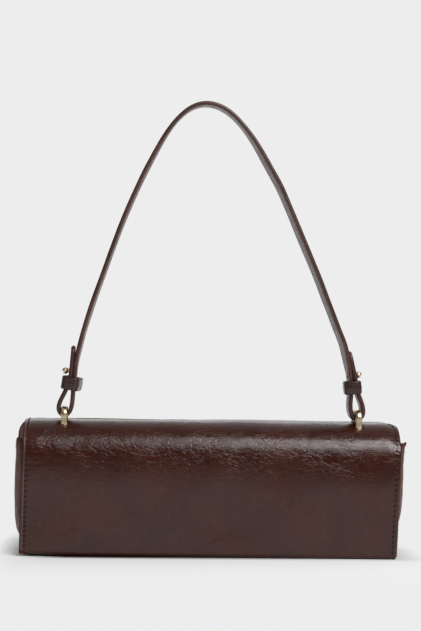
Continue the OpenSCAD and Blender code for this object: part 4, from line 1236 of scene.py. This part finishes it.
stageCard("floor", [(-30, -30, 0), (30, -30, 0), (30, 30, 0), (-30, 30, 0)], floorMaterial(), True)
low, high, near, far = 0.02, 2.4, -2.6, 11.0
cards = [
    stageCard("dark_front", [(-4, near, low), (4, near, low), (4, near, high), (-4, near, high)],
              glowCard("darkRoom", studio["frontDark"])),
    stageCard("ceiling", [(-4, near, high), (4, near, high), (4, 5.5, high), (-4, 5.5, high)],
              glowCard("greyCeiling", *studio["ceiling"]))]
for name, x, finish in (("side_left", -2.2, "greySide"), ("side_right", 2.2, "greySideRight")):
    cards.append(stageCard(name, [(x, near, low), (x, far, low), (x, far, high), (x, near, high)],
                           glowCard(finish, studio["sides"])))
for card in cards:  # seen in reflections only
    card.visible_diffuse = card.visible_shadow = card.visible_transmission = False

world = bpy.data.worlds.new("paleStudio")
bpy.context.scene.world = world
world.use_nodes = True
world.node_tree.nodes.clear()
rays = addNode(world, "LightPath", output=None)
seen = rays["Is Camera Ray"]
for kind in ("Is Glossy Ray", "Is Transmission Ray"):
    seen = addNode(world, "Math", [seen, rays[kind]], operation="MAXIMUM")
level = addNode(world, "Mix", {0: seen, 2: studio["ambient"], 3: studio["pale"]}, data_type="FLOAT")
backdrop = addNode(world, "Background", {"Color": "#ffffff", "Strength": level})
addNode(world, "OutputWorld", {"Surface": backdrop}, None)


# A lamp card aimed at a point, its glow given per area
def softbox(name, at, aim, size, glow):
    data = bpy.data.lights.new(name, "AREA")
    data.shape = "RECTANGLE"
    data.size, data.size_y = size
    data.energy = glow * np.pi * size[0] * size[1]
    lamp = bpy.data.objects.new(name, data)
    bpy.context.scene.collection.objects.link(lamp)
    lamp.location = at
    lamp.rotation_mode = "QUATERNION"
    lamp.rotation_quaternion = (Vector(aim) - Vector(at)).to_track_quat("-Z", "Y")
    lamp.visible_camera = False


lamps = {"left": (0.01, 0.18, 0.8, 1.6), "middle": (0.21, 0.22, 0.95, 4.8), "right": (0.75, 0.86, 1.0, 8.2)}
for name, (x, wideBy, highBy, glow) in lamps.items():  # place, width, height and glow, in a row over the camera
    softbox("softbox_" + name, (x, -0.96, 1.22), (x, -0.02, 0.09), (wideBy, highBy), glow)

# The camera looks along +Y, turned to the right by the yaw, up by the pitch and rolled clockwise, all in radians
view = {"at": (-0.0700, -1.2810, 0.1656), "yaw": 0.053227, "pitch": 0.006000, "roll": 0.016013, "lens": 100.0}
sy, cy, sp, cp = np.sin(view["yaw"]), np.cos(view["yaw"]), np.sin(view["pitch"]), np.cos(view["pitch"])
forward = np.array([sy * cp, cy * cp, sp])
rightWay = np.array([cy, -sy, 0.0])
upWay = np.cross(rightWay, forward)
cr, sr = np.cos(view["roll"]), np.sin(view["roll"])
rightTurned, upTurned = rightWay * cr + upWay * sr, upWay * cr - rightWay * sr
camera = bpy.data.objects.new("camera", bpy.data.cameras.new("camera"))
bpy.context.scene.collection.objects.link(camera)
camera.data.lens, camera.data.sensor_width = view["lens"], 36.0
camera.data.clip_start, camera.data.clip_end = 0.05, 60.0
columns = np.stack([rightTurned, upTurned, -forward], -1)
camera.matrix_world = Matrix.Translation(view["at"]) @ Matrix(columns.tolist()).to_4x4()
bpy.context.scene.camera = camera
bpy.context.scene.view_settings.view_transform = "Standard"
print("stage: floor, light and camera made")
